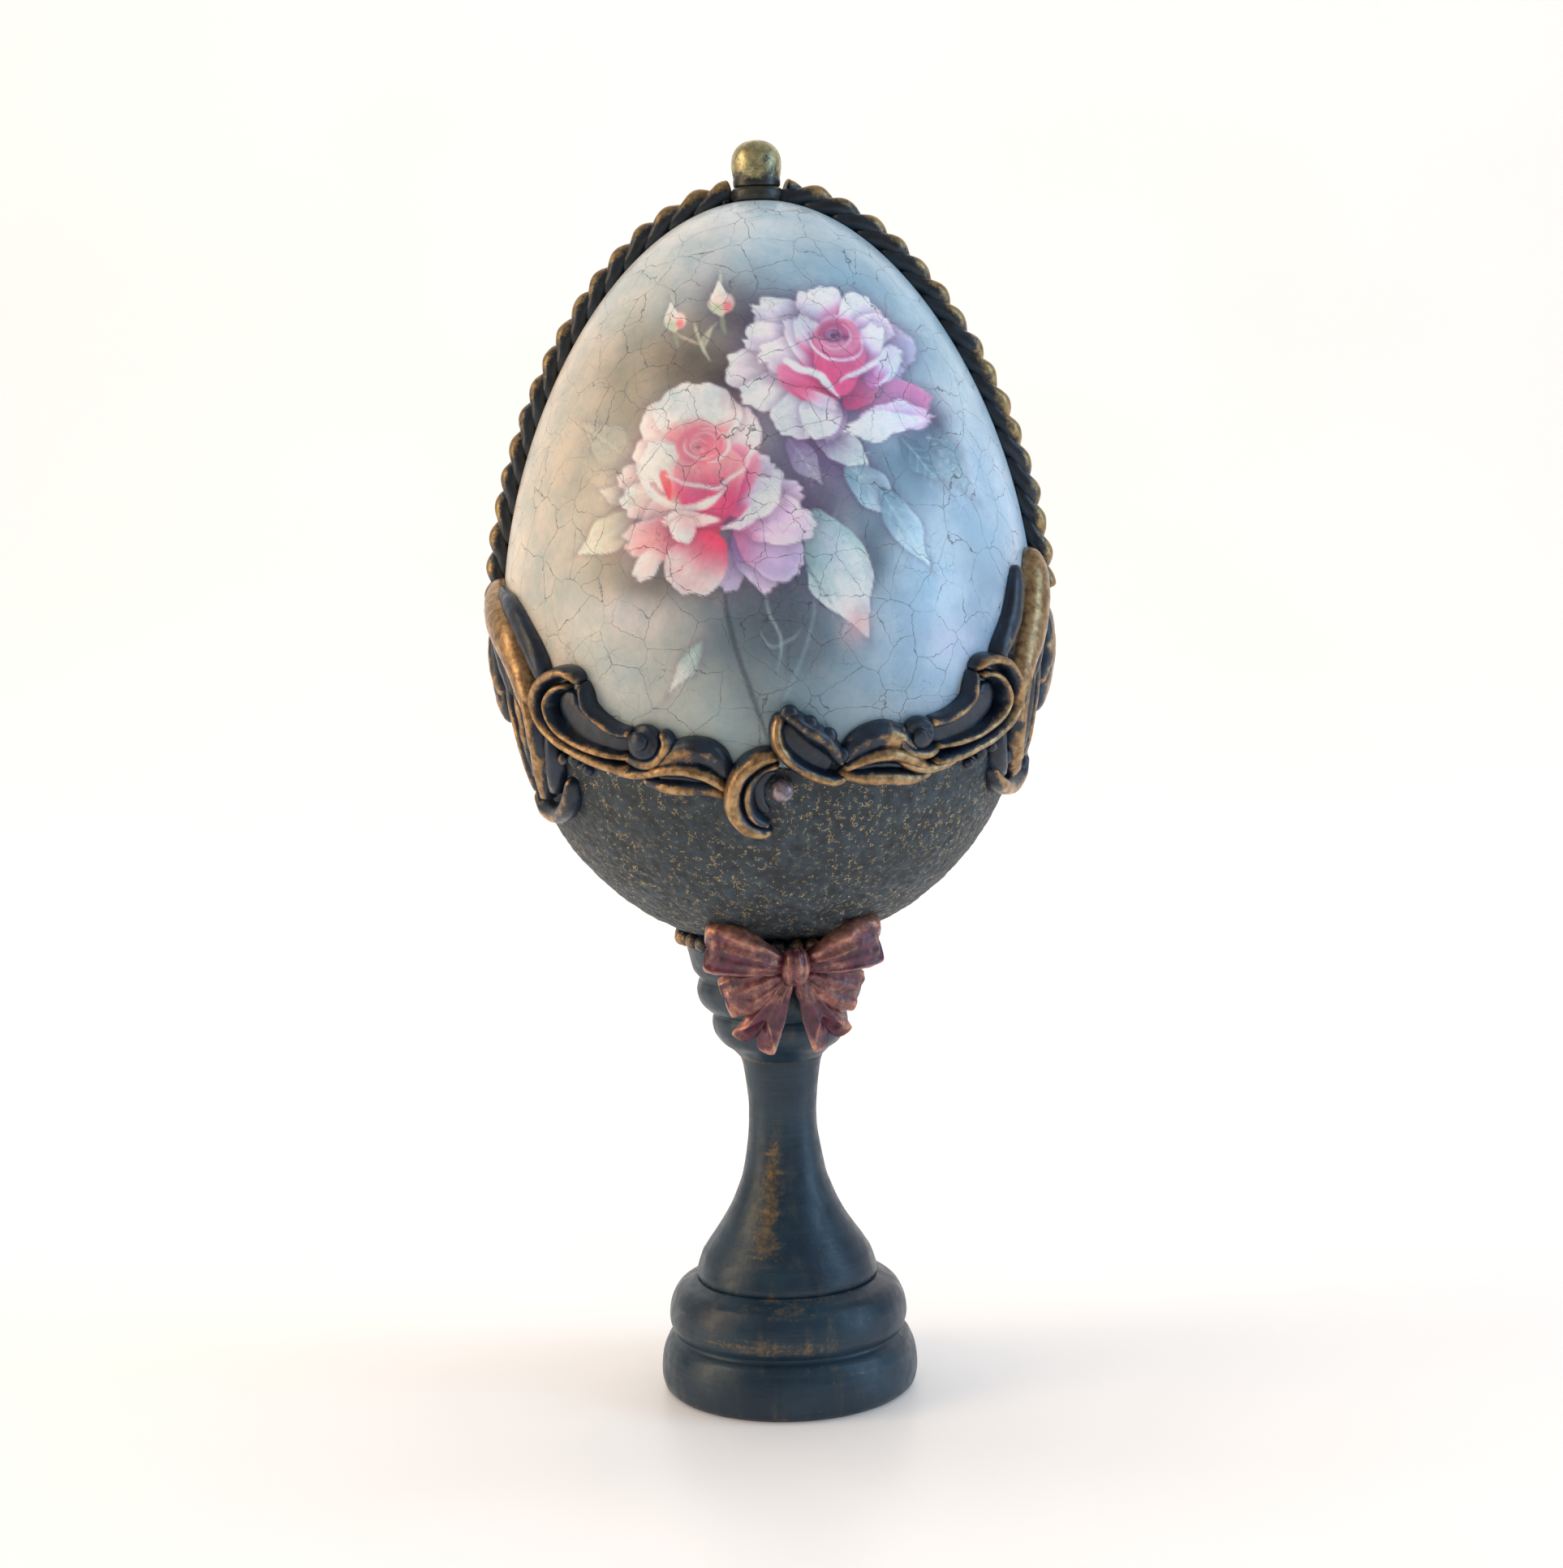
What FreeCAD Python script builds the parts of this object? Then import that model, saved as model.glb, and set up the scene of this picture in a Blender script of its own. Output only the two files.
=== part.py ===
import FreeCAD
import Part
import math
import os

# Decorated egg on a turned wooden stand.  Millimetres, +Z up, origin at the
# centre of the foot's underside, decorated front facing -Y.

V = FreeCAD.Vector
UP = V(0, 0, 1)

# Egg blank: radius = egg_a * sin(t) * (1 - egg_skew * cos(t)), height = middle + half * cos(t)
egg_top = 209.15
egg_bottom = 80.65
egg_a = 45.5
egg_skew = 0.144
egg_mid = (egg_top + egg_bottom) / 2
egg_half = (egg_top - egg_bottom) / 2

picture_thick = 0.25
coat_thick = 0.6
glue_line = 0.02
seat_gap = 0.35

# Stand
foot_height = 19.5
column_top = 60.0
cup_top = 81.0
foot_tenon_r = 8.0
cup_tenon_r = 4.6
cup_tenon_top = 68.0
tenon_clear = 0.05

# Dowel that carries the egg
dowel_r = 4.0
dowel_clear = 0.05
dowel_bottom = 68.4
dowel_top = 103.0

# Beaded ring on the cup
ring_r = 16.9
ring_z = 82.4
ring_tube_r = 1.1
bead_r = 1.45
bead_count = 36

# Rope trim
rope_r = 1.9
rope_waist = 1.05
rope_pitch = 10.6
rope_start_angle = 6.9
rope_end_angle = 92.5
trim_turn = -4.0
rope_space_half = 2.05
rope_space_bottom = 141.6

# Finial
finial_r = 4.3
neck_r = 4.0
finial_z = 215.25
collar_r = 4.5
collar_top = 211.6
pin_r = 1.2
pin_bottom = 203.0
pin_top = 214.5

# Relief trim
pearl_r = 1.95
scroll_shift = 5.0

# Bow
bow_turn = 7.5


def egg_profile(angle, lift):
    """Radius and height on the egg outline, pushed outwards by lift."""
    t = math.radians(angle)
    r = egg_a * math.sin(t) * (1 - egg_skew * math.cos(t))
    z = egg_mid + egg_half * math.cos(t)
    dr = egg_a * (math.cos(t) - egg_skew * math.cos(2 * t))
    dz = -egg_half * math.sin(t)
    length = math.hypot(dr, dz)
    return r - lift * dz / length, z + lift * dr / length


def angle_at(z):
    return math.degrees(math.acos((z - egg_mid) / egg_half))


def egg_frame(azimuth, z, lift):
    """Point and outward normal on the egg; azimuth 0 faces -Y, +90 faces +X."""
    angle = angle_at(z)
    r0, z0 = egg_profile(angle, 0)
    r1, z1 = egg_profile(angle, 1)
    a = math.radians(azimuth)
    out = V(math.sin(a), -math.cos(a), 0)
    normal = out * (r1 - r0) + UP * (z1 - z0)
    return out * r0 + UP * z0 + normal * lift, normal


def egg_solid(lift):
    """Egg grown by lift, turned from one half of its closed outline."""
    outline = []
    for i in range(60):
        r, z = egg_profile(6.0 * i, lift)
        outline.append(V(r, 0, z))
    curve = Part.BSplineCurve()
    curve.interpolate(Points=outline, PeriodicFlag=True)
    bottom = curve.parameter(V(0, 0, egg_profile(180, lift)[1]))
    curve.segment(curve.FirstParameter, bottom)
    axis = Part.makeLine(V(0, 0, curve.EndPoint.z), V(0, 0, curve.StartPoint.z))
    face = Part.Face(Part.Wire([curve.toShape(), axis]))
    face.rotate(V(0, 0, 0), UP, 90)
    return face.revolve(V(0, 0, 0), UP, 360)


def cylinder(r, z_low, z_high):
    return Part.makeCylinder(r, z_high - z_low, V(0, 0, z_low))


def line(a, b):
    return Part.makeLine(V(a[0], 0, a[1]), V(b[0], 0, b[1]))


def arc(a, b, c):
    return Part.Arc(V(a[0], 0, a[1]), V(b[0], 0, b[1]), V(c[0], 0, c[1])).toShape()


def spline(points):
    curve = Part.BSplineCurve()
    curve.interpolate([V(x, 0, z) for x, z in points])
    return curve.toShape()


def turned(edges):
    face = Part.Face(Part.Wire(edges))
    return face.revolve(V(0, 0, 0), UP, 360)


def stand_foot():
    body = turned([
        line((0, 0), (22.2, 0)),
        arc((22.2, 0), (23.05, 3.4), (21.6, 9.2)),
        arc((21.6, 9.2), (20.5, 9.75), (20.35, 10.3)),
        arc((20.35, 10.3), (21.3, 13.2), (19.2, 18.6)),
        arc((19.2, 18.6), (18.6, 19.25), (17.6, foot_height)),
        line((17.6, foot_height), (0, foot_height)),
        line((0, foot_height), (0, 0)),
    ])
    hole = cylinder(foot_tenon_r + tenon_clear, 8.0, foot_height + 1)
    return body.cut(hole)


def stand_column():
    return turned([
        line((0, 8.3), (foot_tenon_r, 8.3)),
        line((foot_tenon_r, 8.3), (foot_tenon_r, foot_height)),
        line((foot_tenon_r, foot_height), (15.6, foot_height)),
        arc((15.6, foot_height), (16.15, 21.2), (15.7, 23.0)),
        spline([(15.7, 23.0), (13.4, 27.1), (9.6, 33.2), (7.3, 39.2), (6.2, 45.2),
                (6.0, 50.0), (6.35, 54.4), (6.9, 59.2)]),
        arc((6.9, 59.2), (7.05, 59.7), (7.3, column_top)),
        line((7.3, column_top), (cup_tenon_r, column_top)),
        line((cup_tenon_r, column_top), (cup_tenon_r, cup_tenon_top)),
        line((cup_tenon_r, cup_tenon_top), (0, cup_tenon_top)),
        line((0, cup_tenon_top), (0, 8.3)),
    ])


def stand_cup(seat):
    body = turned([
        line((0, column_top), (7.3, column_top)),
        spline([(7.3, column_top), (8.8, 61.6), (10.3, 62.8), (11.7, 64.6), (12.05, 66.4)]),
        line((12.05, 66.4), (11.95, 67.7)),
        arc((11.95, 67.7), (12.0, 68.0), (12.3, 68.3)),
        arc((12.3, 68.3), (14.5, 71.6), (14.25, 74.4)),
        arc((14.25, 74.4), (15.75, 77.9), (16.2, cup_top)),
        line((16.2, cup_top), (0, cup_top)),
        line((0, cup_top), (0, column_top)),
    ])
    mortise = cylinder(cup_tenon_r + tenon_clear, column_top - 1, cup_tenon_top + 0.2)
    bore = cylinder(dowel_r + dowel_clear, cup_tenon_top, cup_top + 5)
    return body.cut(mortise).cut(bore).cut(seat)


def cup_rim_trim(seat):
    ring = Part.makeTorus(ring_r, ring_tube_r, V(0, 0, ring_z))
    beads = []
    for i in range(bead_count):
        a = 2 * math.pi * i / bead_count
        beads.append(Part.makeSphere(bead_r, V(ring_r * math.cos(a), ring_r * math.sin(a), ring_z)))
    ring = ring.fuse(beads)
    below = cylinder(ring_r + 5, cup_top - 5, cup_top + glue_line)
    return ring.cut(below).cut(seat)


def egg_dowel():
    body = cylinder(dowel_r, dowel_bottom, dowel_top)
    return body.makeChamfer(0.5, [body.Edges[0], body.Edges[2]])


def egg_core(bare):
    socket = cylinder(dowel_r + dowel_clear, egg_bottom - 1, dowel_top + 0.5)
    pin_hole = cylinder(pin_r + tenon_clear, pin_bottom - 0.3, egg_top + 1)
    return bare.cut(socket).cut(pin_hole)


def upper_prism(y_low, y_high):
    """Space above the wavy line where the pictures meet the textured coat."""
    lower_edge = spline([(-47, 144), (-41, 131), (-34, 122.5), (-21, 118), (-8, 115), (0, 116.5),
                         (9, 115.5), (25, 118), (35, 122), (41, 129.5), (47, 144)])
    outline = Part.Wire([
        lower_edge,
        line((47, 144), (70, 144)),
        line((70, 144), (70, 240)),
        line((70, 240), (-70, 240)),
        line((-70, 240), (-70, 144)),
        line((-70, 144), (-47, 144)),
    ])
    prism = Part.Face(outline).extrude(V(0, y_high - y_low, 0))
    prism.translate(V(0, y_low, 0))
    prism.rotate(V(0, 0, 0), UP, trim_turn)
    return prism


def picture(bare, y_low, y_high):
    layer = egg_solid(picture_thick).common(upper_prism(y_low, y_high))
    top_hole = cylinder(collar_r - 1, egg_top - 5, egg_top + 5)
    return layer.cut(bare).cut(top_hole)


def texture_coat(bare):
    layer = egg_solid(coat_thick).cut(upper_prism(-80, 80))
    below = cylinder(dowel_r + 0.4, egg_bottom - 5, egg_bottom + 5)
    return layer.cut(bare).cut(below)


def closed_curve(points):
    curve = Part.BSplineCurve()
    curve.interpolate(Points=points, PeriodicFlag=True)
    return Part.Wire(curve.toShape())


def rope():
    """Two-strand twisted trim laid along the egg's outline, for the -X side."""
    lift = picture_thick + glue_line + rope_r
    steps = 600
    angles = [rope_start_angle + (rope_end_angle - rope_start_angle) * i / steps for i in range(steps + 1)]
    path = [egg_profile(a, lift) for a in angles]
    travel = [0.0]
    for i in range(steps):
        travel.append(travel[-1] + math.dist(path[i], path[i + 1]))
    count = int(travel[-1] / (rope_pitch / 8))
    wires = []
    for k in range(count + 1):
        wanted = travel[-1] * k / count
        i = min(range(len(travel)), key=lambda j: abs(travel[j] - wanted))
        r0, z0 = egg_profile(angles[i], 0)
        r1, z1 = egg_profile(angles[i], 1)
        normal = V(r0 - r1, 0, z1 - z0)
        across = V(0, 1, 0)
        centre = V(-path[i][0], 0, path[i][1])
        twist = -2 * math.pi * wanted / rope_pitch
        ring = []
        for j in range(12):
            a = 2 * math.pi * j / 12
            size = (rope_r + rope_waist) / 2 + (rope_r - rope_waist) / 2 * math.cos(2 * a)
            ring.append(centre + normal * (size * math.cos(a + twist)) + across * (size * math.sin(a + twist)))
        wires.append(closed_curve(ring))
    return Part.makeLoft(wires, True, False)


def finial_collar(bare):
    body = cylinder(collar_r, egg_top - 3, collar_top)
    edge = [e for e in body.Edges if abs(e.BoundBox.ZMin - collar_top) < 1e-6 and e.Length > 10]
    body = body.makeFillet(0.8, edge)
    hole = cylinder(pin_r + tenon_clear, egg_top - 10, collar_top + 1)
    return body.cut(hole).cut(egg_solid(picture_thick + glue_line))


def finial_ball():
    body = Part.makeSphere(finial_r, V(0, 0, finial_z))
    body = body.fuse(cylinder(neck_r, collar_top, finial_z)).removeSplitter()
    below = cylinder(finial_r + 5, collar_top - 10, collar_top)
    hole = cylinder(pin_r + tenon_clear, collar_top - 1, pin_top + 0.2)
    return body.cut(below).cut(hole)


def finial_pin():
    return cylinder(pin_r, pin_bottom, pin_top)


def blend(values, where):
    """Smooth value at a fraction of the way along a list of control values."""
    x = where * (len(values) - 1)
    i = min(int(x), len(values) - 2)
    f = x - i
    f = f * f * (3 - 2 * f)
    return values[i] * (1 - f) + values[i + 1] * f


def ribbon(path, widths, heights, count, dish=0.0):
    """Tapering band that follows a path of (azimuth, height) over the egg.

    dish sinks the middle of its crown, which leaves a raised rim on both sides."""
    curve = Part.BSplineCurve()
    curve.interpolate([egg_frame(a, z, coat_thick)[0] for a, z in path])
    first = curve.FirstParameter
    span = curve.LastParameter - first
    wires = []
    for k in range(count + 1):
        where = k / count
        p = curve.value(first + span * where)
        along = V(*curve.tangent(first + span * where)[0])
        azimuth = math.degrees(math.atan2(p.x, -p.y))
        centre, normal = egg_frame(azimuth, p.z, coat_thick)
        across = normal.cross(along).normalize()
        wide = blend(widths, where) / 2
        high = blend(heights, where)
        sunk = dish * math.sin(math.pi * where) ** 0.5
        ring = []
        for j in range(16):
            a = 2 * math.pi * j / 16
            side = math.cos(a)
            rise = math.sin(a)
            if rise > 0:
                rise = rise ** 0.7 * (1 - sunk * math.exp(-((side / 0.45) ** 2)))
            ring.append(centre + across * (wide * side) + normal * (high * rise))
        wires.append(closed_curve(ring))
    return Part.makeLoft(wires, True, False)


def knob(azimuth, z, r, lift):
    centre, normal = egg_frame(azimuth, z, coat_thick + lift)
    return Part.makeSphere(r, centre)


def joined(first, others):
    return first.fuse(others)


def scroll():
    path = [(46, 130.4), (52, 127.6), (51, 123.4), (44, 120.6), (36, 119.2), (29, 119.2)]
    path = [(-a, z) for a, z in path]
    band = ribbon(path, [3.0, 6.4, 7.6, 6.6, 5.6, 3.6], [2.4, 4.2, 4.4, 4.0, 3.6, 2.6], 20, 0.5)
    curl = knob(-44.0, 129.4, 2.2, 1.0)
    bump = knob(-28.0, 120.2, 2.4, 0.9)
    return joined(band, [curl, bump])


def leaf(path, widths, heights):
    return ribbon(path, widths, heights, 14, 0.25)


def centre_crescent():
    path = [(0.6, 118.4), (-3.2, 117.3), (-7.0, 114.2), (-7.8, 111.0), (-5.6, 108.0), (-0.8, 105.6)]
    return ribbon(path, [1.8, 3.6, 4.6, 4.8, 4.0, 1.4], [2.0, 3.6, 4.0, 4.0, 3.2, 1.2], 18, 0.35)


def centre_leaf():
    path = [(3.2, 125.6), (3.6, 121.8), (6.4, 118.8), (11.0, 117.0), (16.0, 115.6)]
    band = ribbon(path, [3.6, 6.2, 6.4, 5.6, 2.4], [2.4, 4.2, 4.4, 3.8, 1.8], 16)
    lobes = [knob(7.6, 121.6, 1.7, 0.6), knob(10.6, 120.4, 1.7, 0.6), knob(13.2, 118.8, 1.6, 0.5)]
    return joined(band, lobes)


def pearl():
    return knob(1.9, 112.9, pearl_r, 1.3)


def strap():
    path = [(86, 145.0), (76, 138.4), (67, 132.4), (62, 126.4), (61, 120.8), (64, 115.6), (69, 111.0)]
    path = [(-a, z) for a, z in path]
    return ribbon(path, [4.6, 6.0, 6.2, 5.6, 5.0, 4.6, 3.0], [2.8, 3.8, 4.2, 4.0, 3.8, 3.4, 2.2], 22)


def cartouche():
    path = [(71, 124.0), (77, 119.0), (79, 113.5), (75, 109.1), (69, 108.3)]
    path = [(-a, z) for a, z in path]
    band = ribbon(path, [2.6, 4.6, 4.8, 4.4, 3.0], [2.4, 3.8, 4.2, 3.8, 2.4], 16)
    curl = knob(-69.5, 109.5, 2.2, 0.8)
    return joined(band, [curl])


def cartouche_beads():
    upper = knob(-57.2, 116.2, 1.7, 1.0)
    lower = knob(-53.9, 114.8, 1.6, 1.0)
    return joined(upper, [lower])


def side_leaf():
    path = [(90, 139.0), (92, 135.0), (91, 129.0), (89, 124.6), (88, 121.0)]
    path = [(-a, z) for a, z in path]
    return ribbon(path, [2.6, 6.0, 7.0, 5.0, 2.4], [1.6, 3.6, 4.2, 3.2, 1.6], 14)


def bow_band(points, widths, thick, count):
    """Ribbon of the bow: points are (sideways, outwards, height), widths lie in the bow's face."""
    curve = Part.BSplineCurve()
    curve.interpolate([V(x, -y, z) for x, y, z in points])
    first = curve.FirstParameter
    span = curve.LastParameter - first
    wires = []
    for k in range(count + 1):
        where = k / count
        centre = curve.value(first + span * where)
        along = V(*curve.tangent(first + span * where)[0])
        outward = V(centre.x * 0.5, centre.y, 0).normalize()
        across = outward.cross(along).normalize()
        outward = along.cross(across).normalize()
        wide = blend(widths, where) / 2
        deep = blend(thick, where) / 2
        ring = []
        for j in range(12):
            a = 2 * math.pi * j / 12
            pleat = 1 + 0.18 * math.cos(3 * a)
            ring.append(centre + across * (wide * math.cos(a)) + outward * (deep * pleat * math.sin(a)))
        wires.append(closed_curve(ring))
    shape = Part.makeLoft(wires, True, False)
    shape.rotate(V(0, 0, 0), UP, bow_turn)
    return shape


def bow_knot():
    shape = bow_band([(0, 19.6, 77.6), (0, 21.0, 79.0), (0, 21.2, 81.2), (0, 20.2, 82.8)],
                     [3.2, 4.8, 4.8, 3.2], [1.8, 3.6, 3.6, 1.8], 8)
    return shape


def bow_loop(side):
    return bow_band([(side * 2.4, 20.2, 80.2), (side * 6.0, 20.8, 81.2), (side * 10.6, 20.4, 82.2),
                     (side * 14.2, 19.0, 82.4)],
                    [3.0, 5.4, 8.0, 6.2], [2.4, 3.2, 3.4, 1.8], 12)


def bow_lower_loop(side):
    return bow_band([(side * 2.2, 19.2, 78.4), (side * 5.6, 19.0, 76.6), (side * 9.2, 17.6, 74.6),
                     (side * 12.2, 15.6, 73.0)],
                    [2.4, 4.4, 6.0, 4.2], [2.0, 2.6, 2.6, 1.6], 12)


def bow_tail(side):
    body = bow_band([(side * 1.4, 19.0, 77.6), (side * 3.0, 18.2, 74.0), (side * 4.8, 16.6, 70.2),
                     (side * 6.2, 15.6, 65.4)],
                    [2.6, 4.2, 5.6, 6.8], [2.2, 2.4, 2.2, 1.8], 12)
    notch = Part.makeWedge(-2.2, 0, -6, 0, 0, 2.2, 8, 6, 0, 0)
    notch.rotate(V(0, 0, 0), V(0, 1, 0), -side * 16)
    notch.translate(V(side * 6.5, -15.0, 64.0))
    notch.rotate(V(0, 0, 0), UP, bow_turn)
    return body.cut(notch)


def to_back(shape):
    return shape.mirror(V(0, 0, 0), V(0, 1, 0))


def to_right(shape):
    return shape.mirror(V(0, 0, 0), V(1, 0, 0))


def save(name, shape):
    if shape.ShapeType != "Solid":
        solids = shape.Solids
        if len(solids) != 1:
            print("check", name, "has", len(solids), "solids")
        shape = Part.makeCompound(solids) if len(solids) > 1 else solids[0]
    shape.exportStep("parts/" + name + ".step")


def build_stand(seat):
    parts = {}
    parts["stand_foot"] = stand_foot()
    parts["stand_column"] = stand_column()
    parts["stand_cup"] = stand_cup(seat)
    parts["cup_rim_trim"] = cup_rim_trim(seat)
    taken = [parts["stand_cup"], parts["cup_rim_trim"], seat]
    bow = {}
    bow["bow_knot"] = bow_knot()
    bow["bow_loop_left"] = bow_loop(-1)
    bow["bow_loop_right"] = bow_loop(1)
    bow["bow_tail_left"] = bow_tail(-1)
    bow["bow_tail_right"] = bow_tail(1)
    bow["bow_lower_loop_left"] = bow_lower_loop(-1)
    bow["bow_lower_loop_right"] = bow_lower_loop(1)
    for name, shape in bow.items():
        parts[name] = clear_of(shape, taken)
        taken.append(parts[name])
    return parts


def largest(shape):
    return max(shape.Solids, key=lambda s: s.Volume)


def clear_of(shape, others):
    """Cuts others away from shape, and again where a first cut leaves part of the overlap."""
    for other in others:
        if not shape.BoundBox.intersect(other.BoundBox):
            continue
        for attempt in range(3):
            shape = largest(shape.cut(other))
            if shape.common(other).Volume < 0.001:
                break
    return shape


def rope_spaces():
    """Straight-sided spaces round the lower ends of the two ropes, where the straps stop."""
    right = Part.makeBox(20, 2 * rope_space_half, 14, V(36, -rope_space_half, rope_space_bottom))
    left = to_right(right)
    for space in (right, left):
        space.rotate(V(0, 0, 0), UP, trim_turn)
    return [right, left]


def build_trim(spaces):
    """Relief pieces of one face, cut back by the coat, the rope spaces and their neighbours."""
    coated = egg_solid(coat_thick + glue_line)
    raw = {}
    raw["strap_left"] = strap()
    raw["strap_right"] = to_right(raw["strap_left"])
    raw["scroll_left"] = scroll()
    raw["scroll_right"] = to_right(raw["scroll_left"])
    raw["scroll_right"].rotate(V(0, 0, 0), UP, scroll_shift)
    raw["cartouche_left"] = cartouche()
    raw["cartouche_right"] = to_right(raw["cartouche_left"])
    raw["cartouche_beads_left"] = cartouche_beads()
    raw["cartouche_beads_right"] = to_right(raw["cartouche_beads_left"])
    raw["centre_crescent"] = centre_crescent()
    raw["centre_leaf"] = centre_leaf()
    raw["leaf_left"] = leaf([(-28.4, 115.6), (-24, 116.6), (-18.5, 116.3), (-14, 115.4), (-10.6, 114.6)],
                            [2.4, 6.0, 7.0, 5.4, 1.8], [2.0, 3.4, 3.6, 3.0, 1.4])
    raw["leaf_right"] = leaf([(38, 115.4), (33, 116.6), (27, 117.2), (21, 116.8), (15, 115.8)],
                             [2.2, 5.6, 7.0, 6.0, 2.4], [1.6, 3.2, 3.6, 3.2, 1.8])
    raw["pearl"] = pearl()
    done = {}
    for name, shape in raw.items():
        done[name] = clear_of(shape, [coated] + spaces + list(done.values()))
    return done, coated


def main():
    os.makedirs("parts", exist_ok=True)
    bare = egg_solid(0)
    seat = egg_solid(coat_thick + seat_gap)
    for name, shape in build_stand(seat).items():
        save(name, shape)
    save("egg_dowel", egg_dowel())
    save("egg_core", egg_core(bare))
    save("front_picture", picture(bare, -80, 0))
    save("back_picture", picture(bare, 0, 80))
    save("texture_coat", texture_coat(bare))
    rope_left = rope()
    rope_right = to_right(rope_left)
    rope_left.rotate(V(0, 0, 0), UP, trim_turn)
    rope_right.rotate(V(0, 0, 0), UP, trim_turn)
    save("rope_left", rope_left)
    save("rope_right", rope_right)
    save("finial_collar", finial_collar(bare))
    save("finial_ball", finial_ball())
    save("finial_pin", finial_pin())
    spaces = rope_spaces()
    trim, coated = build_trim(spaces)
    for name, shape in trim.items():
        save("front_" + name, shape)
        save("back_" + name, clear_of(to_back(shape), spaces))
    neighbours = []
    for name in ("strap_left", "cartouche_left"):
        neighbours.append(trim[name])
        neighbours.append(to_back(trim[name]))
    shape = clear_of(side_leaf(), [coated] + spaces + neighbours)
    save("side_leaf_left", shape)
    save("side_leaf_right", to_right(shape))


main()
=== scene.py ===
import math
import bpy
import bmesh
import numpy as np
from mathutils import Matrix, Vector


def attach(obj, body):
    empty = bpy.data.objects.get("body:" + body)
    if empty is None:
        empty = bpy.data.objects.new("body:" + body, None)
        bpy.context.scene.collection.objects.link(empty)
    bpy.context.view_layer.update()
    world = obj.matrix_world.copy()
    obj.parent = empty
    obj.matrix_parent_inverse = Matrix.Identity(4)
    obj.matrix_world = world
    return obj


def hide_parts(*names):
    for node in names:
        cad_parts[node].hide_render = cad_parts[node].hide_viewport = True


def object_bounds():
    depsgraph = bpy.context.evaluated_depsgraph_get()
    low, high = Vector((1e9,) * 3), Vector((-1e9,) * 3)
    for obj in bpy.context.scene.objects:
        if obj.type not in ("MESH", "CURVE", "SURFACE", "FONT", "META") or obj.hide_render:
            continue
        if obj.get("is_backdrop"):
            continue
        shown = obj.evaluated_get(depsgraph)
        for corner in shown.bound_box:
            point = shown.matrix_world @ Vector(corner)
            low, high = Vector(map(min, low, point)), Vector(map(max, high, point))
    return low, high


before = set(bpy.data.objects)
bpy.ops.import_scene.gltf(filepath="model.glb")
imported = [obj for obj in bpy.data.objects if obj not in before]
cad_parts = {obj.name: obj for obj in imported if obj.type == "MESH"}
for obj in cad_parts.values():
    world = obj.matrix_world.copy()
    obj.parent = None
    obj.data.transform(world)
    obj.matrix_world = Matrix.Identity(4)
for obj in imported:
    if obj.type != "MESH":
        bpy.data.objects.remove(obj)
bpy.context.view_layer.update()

# Lengths below are millimetres; meshes are scaled to metres when they are made.
MM = 0.001

# The egg's outline: height of its middle, half height, half width, and how much the lower end is fuller.
EGG_MID, EGG_HALF, EGG_A, EGG_SKEW = 144.9, 64.25, 45.5, 0.144
# Thickness of the varnished picture and of the textured coat on the bare wood.
PICTURE, COAT = 0.25, 0.6
# Degrees by which the trim and the bow are turned about the vertical.
TRIM_TURN, BOW_TURN = -4.0, 7.5


# ---------------------------------------------------------------- helpers

def smooth(low, high, x):
    """Soft step from 0 at low to 1 at high."""
    t = np.clip((x - low) / (high - low), 0.0, 1.0)
    return t * t * (3 - 2 * t)


def mix(a, b, t):
    """Value between a and b at share t."""
    return a * (1 - t) + b * t


def lattice(i, j, k, seed):
    """Fixed value from 0 to 1 for each whole-numbered place."""
    h = (i * 73856093) ^ (j * 19349663) ^ (k * 83492791) ^ (seed * 2654435761)
    h = (h ^ (h >> 13)) * 1274126177
    h = h & 0xFFFFFFFF
    return ((h ^ (h >> 16)) & 0xFFFF) / 65535.0


def grain(p, size, seed=0):
    """Smooth noise from -1 to 1 at points p, with features about size across."""
    q = np.asarray(p, float) / size + 1000.0
    base = np.floor(q).astype(np.int64)
    f = q - base
    f = f * f * (3 - 2 * f)
    total = np.zeros(q.shape[:-1])
    for a in (0, 1):
        for b in (0, 1):
            for c in (0, 1):
                w = ((f[..., 0] if a else 1 - f[..., 0]) * (f[..., 1] if b else 1 - f[..., 1])
                     * (f[..., 2] if c else 1 - f[..., 2]))
                total += w * lattice(base[..., 0] + a, base[..., 1] + b, base[..., 2] + c, seed)
    return total * 2 - 1


def cloud(p, size, seed=0, octaves=3):
    """Several layers of grain, each half the size and strength of the one before."""
    total, weight, sum_w = 0.0, 1.0, 0.0
    for o in range(octaves):
        total = total + weight * grain(p, size / 2 ** o, seed + 17 * o)
        sum_w += weight
        weight *= 0.5
    return total / sum_w


def through(points, n):
    """n points on a smooth curve through the given points, evenly spaced by parameter."""
    p = np.asarray(points, float)
    if p.ndim == 1:
        p = p[:, None]
    m = len(p)
    ext = np.vstack([2 * p[0] - p[1], p, 2 * p[-1] - p[-2]])
    t = np.linspace(0, m - 1, n)
    i = np.minimum(t.astype(int), m - 2)
    f = (t - i)[:, None]
    a, b, c, d = ext[i], ext[i + 1], ext[i + 2], ext[i + 3]
    out = 0.5 * (2 * b + (c - a) * f + (2 * a - 5 * b + 4 * c - d) * f ** 2
                 + (3 * b - a - 3 * c + d) * f ** 3)
    return out[:, 0] if out.shape[1] == 1 else out


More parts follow.
